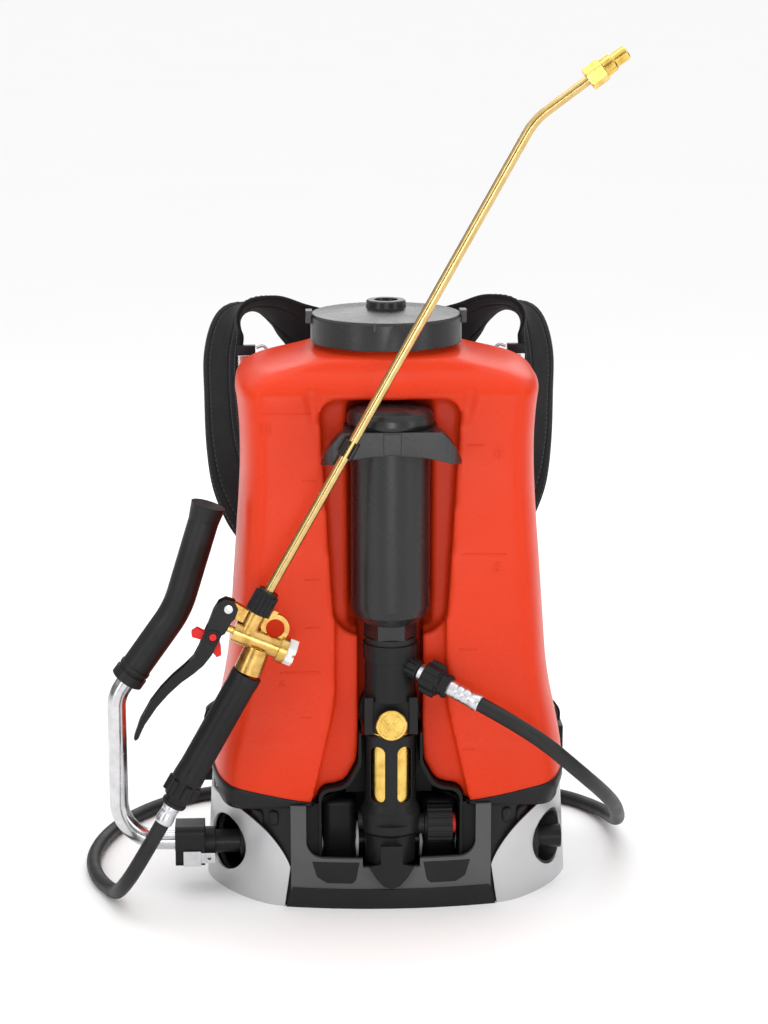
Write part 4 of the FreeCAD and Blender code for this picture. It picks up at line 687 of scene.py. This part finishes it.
def band(name, frames, section, material):
    """A band swept along frames: section(share along) gives its (across, through) outline."""
    mesh = bmesh.new()
    rings, place = [], {}
    for centre, across, through, far in frames:
        ring = []
        for a, t in section(far / frames[-1][3]):
            vertex = mesh.verts.new((centre + across * a + through * t) * MM)
            place[vertex] = (a * MM, far * MM)
            ring.append(vertex)
        rings.append(ring)
    close_run(mesh, rings)
    layer = mesh.loops.layers.uv.new(CLOTH)
    for face in mesh.faces:
        for loop in face.loops:
            loop[layer].uv = place[loop.vert]
    return add_piece(name, to_mesh(name, mesh), material)


def seams(u):
    """How deep the quilting seams are at u, from -1 to 1 across the pad."""
    return sum(math.exp(-((u - s) / SEAM_WIDTH) ** 2) for s in (-SEAM, SEAM))


def crown(u):
    """How high the pad's face is at u, from -1 to 1 across the pad."""
    return 0.86 + 0.14 * math.cos(math.pi * u / 2)


def pad_section(share):
    """The padded strap's section: three crowned channels that flatten at its sewn ends."""
    full = min(1, share / 0.05, (1 - share) / 0.05)
    full = 0.36 + 0.64 * math.sin(full * math.pi / 2)
    half = PAD_HALF * (0.90 + 0.10 * full)
    top, count = [], 40
    for k in range(count + 1):
        u = -1 + 2 * k / count
        edge = (1 - abs(u) ** 9) ** 0.5
        top.append((u * half, edge * crown(u) * (1 - SEAM_DEPTH * seams(u))))
    thick = PAD_THICK / 2 * full
    return ([(a, t * thick) for a, t in top]
            + [(a, -t * thick * 0.8) for a, t in reversed(top[1:-1])])


def tape_section(half, thick):
    """A flat webbing's section, with rounded selvedges."""
    rim = thick / 2
    right = [(half - rim + rim * math.sin(a), rim * math.cos(a))
             for a in (math.radians(15 * k) for k in range(13))]
    inner = [(half * x, rim) for x in (-0.75, -0.5, -0.25, 0, 0.25, 0.5, 0.75)]
    return lambda share: (inner + right + [(a, -t) for a, t in reversed(inner)]
                          + [(-a, -t) for a, t in right])


def edge_binding(name, frames, material, sides):
    """The folded tape that closes the padded strap's two edges."""
    for label, way in sides:
        path = [(c + across * (way * (PAD_HALF - 1.6)), across, through, far)
                for c, across, through, far in frames[2:-2]]
        outline = [(3.1 * way * math.cos(a) - 0.6 * way, 2.6 * math.sin(a))
                   for a in (2 * math.pi * k / 20 for k in range(20))]
        band("%s_%s" % (name, label), path, lambda share: outline, material)


def stitches(name, frames, offsets, lift, material, pitch=4.2, long=2.8):
    """Rows of single thread stitches along a band, at offsets across it."""
    mesh = bmesh.new()
    margin = 6.0
    total = frames[-1][3]
    for offset in offsets:
        far = margin
        while far < total - margin:
            stitch(mesh, [frame_at(frames, far + long * t, offset, lift) for t in (0, 0.5, 1)])
            far += pitch
    add_piece(name, to_mesh(name, mesh), material)


def frame_at(frames, far, offset, lift):
    """A point over the band, and its up direction, at a distance along it."""
    for low, high in zip(frames, frames[1:]):
        if high[3] >= far:
            t = (far - low[3]) / (high[3] - low[3])
            centre, across, through = (low[k].lerp(high[k], t) for k in range(3))
            return centre + across * offset + through * lift, through.normalized()
    centre, across, through, _ = frames[-1]
    return centre + across * offset + through * lift, through


def stitch(mesh, marks, radius=0.42):
    """One arched thread, dipping into the cloth at both ends."""
    (a, up), (b, mid), (c, _) = marks
    arch = [a - up * 0.45, a + up * 0.1, b + mid * 0.35, c + up * 0.1, c - up * 0.45]
    way = (c - a).normalized()
    side = way.cross(up).normalized()
    rings = [[mesh.verts.new((p + side * radius * math.cos(t) + up * radius * math.sin(t)) * MM)
              for t in (2 * math.pi * k / 6 for k in range(6))] for p in arch]
    close_run(mesh, rings)


def pad_lift(offset):
    """Height of the padded strap's surface over its centre plane."""
    u = offset / PAD_HALF
    return PAD_THICK / 2 * crown(u) * (1 - SEAM_DEPTH * seams(u))


def harness(finishes):
    """The two padded straps, their webbing, bindings and stitching."""
    for label, side in (("left", 1), ("right", -1)):
        frames = band_frames(PAD_STATIONS, 8, side)
        pad = band("padded_strap_" + label, frames, pad_section, finishes["pad"])
        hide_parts("shoulder_strap_" + label)
        edge_binding("strap_binding_" + label, frames, finishes["binding"],
                     (("inner", 1), ("outer", -1)))
        seam, edge = SEAM * PAD_HALF, PAD_HALF - BINDING_ROW
        rows = frames[3:-3]
        stitches("strap_stitching_" + label, rows, (-seam, seam), pad_lift(seam) - 0.1,
                 finishes["thread"])
        stitches("binding_stitching_" + label, rows, (-edge, edge), pad_lift(edge) * 0.78,
                 finishes["thread"], pitch=3.4, long=2.2)
        lower_web(label, side, finishes)
        top_loop(label, side, finishes)


def lower_web(label, side, finishes):
    """The webbing from the slider to the base, its loose tail and the tab at the pad."""
    frames = band_frames(WEB_STATIONS, 8, side)
    web = band("lower_web_" + label, frames, tape_section(13.0, 1.9), finishes["belt"])
    if side > 0:
        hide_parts("lower_webbing")
    tab = band_frames(level_stations(TAB_X, TAB_PROFILE), 5, side)
    band("strap_tab_" + label, tab, tape_section(13.0, 1.5), finishes["belt"])
    tail = band_frames(TAIL_STATIONS, 8, side)
    band("strap_tail_" + label, tail, tape_section(12.6, 1.6), finishes["belt"])
    stitches("tail_stitching_" + label, tail[-10:], (-9, 9), 0.9, finishes["thread"],
             pitch=3.2, long=2.0)


def top_loop(label, side, finishes):
    """The webbing loop at the strap's top, round the bracket's bar."""
    frames = band_frames(level_stations(LOOP_X, LOOP_PROFILE), 5, side)
    band("strap_loop_" + label, frames, tape_section(23.0, 1.7), finishes["belt"])


# ---------------------------------------------------------------- base details
# the returns beside the pump's foot: x and z of their outline, and y of their two faces
WING_OUTLINE = [(59.0, 4.0), (73.0, 4.0), (73.0, 87.4), (60.2, 87.4), (59.4, 86.6), (59.0, 85.6)]
WING_FACES = (-85.6, -83.6)
# x, z, width and height of the moulded pads on the base's rim
RIM_LUGS = [(98, 74, 9, 13), (112, 70, 13, 17), (130, 76, 9, 12), (144, 74, 8, 12)]
LUG_RELIEF = 1.6


def rounded_block(mesh, centre, out, width, height, depth):
    """A small raised block with rounded corners, and with its face along out."""
    corners = 16
    side = UP.cross(out).normalized()
    rise = out.cross(side).normalized()
    rings = []
    for grow, reach in ((1.0, -2.0), (1.0, depth - 0.8), (0.86, depth - 0.2), (0.78, depth)):
        ring = []
        for k in range(corners):
            angle = 2 * math.pi * (k + 0.5) / corners
            c, s = math.cos(angle), math.sin(angle)
            square = max(abs(c), abs(s)) ** 0.8
            ring.append(mesh.verts.new((centre + out * reach
                                        + side * (width / 2 * grow * c / square)
                                        + rise * (height / 2 * grow * s / square)) * MM))
        rings.append(ring)
    close_run(mesh, rings)


def bay_wings(finishes):
    """The black returns beside the pump's foot, which close the bay towards the shaft; their
    black is darker still, as painted shade in the bay.
    """
    mesh = bmesh.new()
    for side in (-1, 1):
        close_run(mesh, [[mesh.verts.new(mm(side * x, y, z)) for x, z in WING_OUTLINE]
                         for y in WING_FACES])
    add_piece("bay_wings", to_mesh("bay_wings", mesh, smooth=False), finishes["deep"])


def rim_lugs(finishes):
    """Moulded pads on the base's rim, between the silver panels and the tank."""
    tree = surface_tree(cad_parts["base_shell"].data)
    mesh = bmesh.new()
    for x, z, width, height in RIM_LUGS:
        for side in (-1, 1):
            hit = tree.ray_cast(mm(side * x, -200, z), Vector((0, 1, 0)))
            if hit[0]:
                out = Vector((hit[1].x, hit[1].y, 0)).normalized()
                out = -out if out.y > 0 else out
                rounded_block(mesh, hit[0] / MM, out, width, height, LUG_RELIEF)
    add_piece("rim_lugs", to_mesh("rim_lugs", mesh), finishes["black"])


# ---------------------------------------------------------------- small turned details
SHAFT_AXIS = (-45.0, 41.0)          # y and z of the lever's cross shaft, in millimetres
LOCK_PIVOT = (15.5, 39.6)           # the lock's pin: up the gun, and towards the trigger
BOSS_REACH = 6.7                    # from the gun's middle to the foot of the lock's boss
COLLAR_X = 117.0                    # the inner end of each collar on the cross shaft
# radius, and height along the axis
BOSS = [(3.5, 0), (6.0, 0), (6.0, 1.0), (5.6, 1.4), (4.0, 1.4), (3.5, 1.0)]
COLLAR = [(10.2, 0), (13.4, 0.4), (13.6, 1.0), (13.6, 9.0), (13.4, 9.6), (10.2, 10)]
COLLAR_RIBS, RIB_HEIGHT = 12, 0.9


def turned_ring(name, start, way, profile, material, body, ribs=0):
    """A black ring turned round an axis, with raised ribs round its widest part if asked for."""
    count, widest = 96, max(radius for radius, height in profile)
    mesh = bmesh.new()
    rings = []
    for radius, height in profile:
        ring = []
        for k in range(count):
            angle = 2 * math.pi * k / count
            rib = ribs and radius == widest
            rise = RIB_HEIGHT * max(0, math.cos(ribs * angle)) ** 3 if rib else 0
            ring.append(mesh.verts.new(around(radius + rise, angle, height)))
        rings.append(ring)
    bridge(mesh, rings + rings[:1], closed=True)
    lay_along(mesh, start, way)
    add_piece(name, to_mesh(name, mesh), material, body)


def small_turned(finishes):
    """The lock's boss on the trigger, and ribbed collars on the lever's cross shaft."""
    u, v = LOCK_PIVOT
    across_gun = Vector((-math.cos(GUN_LEAN), 0, math.sin(GUN_LEAN)))
    pivot = GRIP_TOP + GRIP_WAY * u + across_gun * v
    front = Vector((0, -1, 0))
    turned_ring("lock_boss", pivot + front * BOSS_REACH, front, BOSS, finishes["black"],
                "trigger")
    y, z = SHAFT_AXIS
    for label, side in (("left", -1), ("right", 1)):
        turned_ring("shaft_collar_" + label, Vector((side * COLLAR_X, y, z)),
                    Vector((side, 0, 0)), COLLAR, finishes["black"], "lever", COLLAR_RIBS)


# ---------------------------------------------------------------- stage
FLOOR_RADII, FLOOR_SIDES = (0.4, 1.2, 3.0, 9.0, 60.0), 48       # in metres
AIM = (0, 0, 0.3)       # what every lamp points at
# name, place, width and height in metres, and power in watts
LAMPS = [
    ("key_left", (-1.6, -1.5, 0.9), 0.6, 1.6, 8), ("key_right", (1.7, -1.3, 0.9), 0.6, 1.6, 7),
    ("front", (0.05, -2.5, 0.35), 0.8, 0.6, 9), ("top", (0, 0.1, 2.0), 1.5, 1.0, 8),
    ("back", (0.3, 1.9, 1.2), 1.6, 1.0, 8),
]
# the sky is dim up to the first height of a ray's direction, and bright from the second
SKY = {"From Min": 0.22, "From Max": 0.60, "To Min": 0.16, "To Max": 1.2}


def stage():
    """The floor, in rings that widen outwards."""
    mesh = bmesh.new()
    rings = []
    for radius in FLOOR_RADII:
        rings.append([mesh.verts.new((radius * math.cos(a), radius * math.sin(a), 0))
                      for a in (2 * math.pi * k / FLOOR_SIDES for k in range(FLOOR_SIDES))])
    mesh.faces.new(rings[0])
    bridge(mesh, rings, closed=True)
    data = to_mesh("floor", mesh)
    floor = bpy.data.objects.new("floor", data)
    data.materials.append(floor_finish())
    bpy.context.scene.collection.objects.link(floor)


def softbox(name, place, width, height, power):
    """A soft rectangular lamp that points at the object."""
    data = bpy.data.lights.new(name, "AREA")
    data.shape, data.size, data.size_y, data.energy = "RECTANGLE", width, height, power
    lamp = bpy.data.objects.new(name, data)
    bpy.context.scene.collection.objects.link(lamp)
    lamp.location = place
    lamp.rotation_euler = (Vector(AIM) - Vector(place)).to_track_quat("-Z", "Y").to_euler()


def lights():
    """The lamps, and a white sky that is dimmer low down."""
    for lamp in LAMPS:
        softbox(*lamp)
    world = bpy.data.worlds.new("studio")
    world.use_nodes = True
    tree = world.node_tree
    backdrop = tree.nodes["Background"]
    backdrop.inputs["Color"].default_value = rgb(1.0, 1.0, 1.0)
    parts = tree.nodes.new("ShaderNodeSeparateXYZ")
    tree.links.new(tree.nodes.new("ShaderNodeTexCoord").outputs["Generated"], parts.inputs[0])
    sky = tree.nodes.new("ShaderNodeMapRange")
    for key, value in SKY.items():
        sky.inputs[key].default_value = value
    tree.links.new(parts.outputs["Z"], sky.inputs["Value"])
    tree.links.new(sky.outputs["Result"], backdrop.inputs["Strength"])
    bpy.context.scene.world = world
    bpy.context.scene.view_settings.view_transform = "Standard"


# ---------------------------------------------------------------- build
def main():
    camera()
    finishes = make_finishes()
    hose(finishes["rubber"], finishes["zinc"])
    finish_nodes(finishes)
    tank = tank_skin(finishes)
    level_marks(tank, finishes)
    base_rim(finishes)
    harness(finishes)
    rim_lugs(finishes)
    bay_wings(finishes)
    small_turned(finishes)
    stage()
    lights()


main()
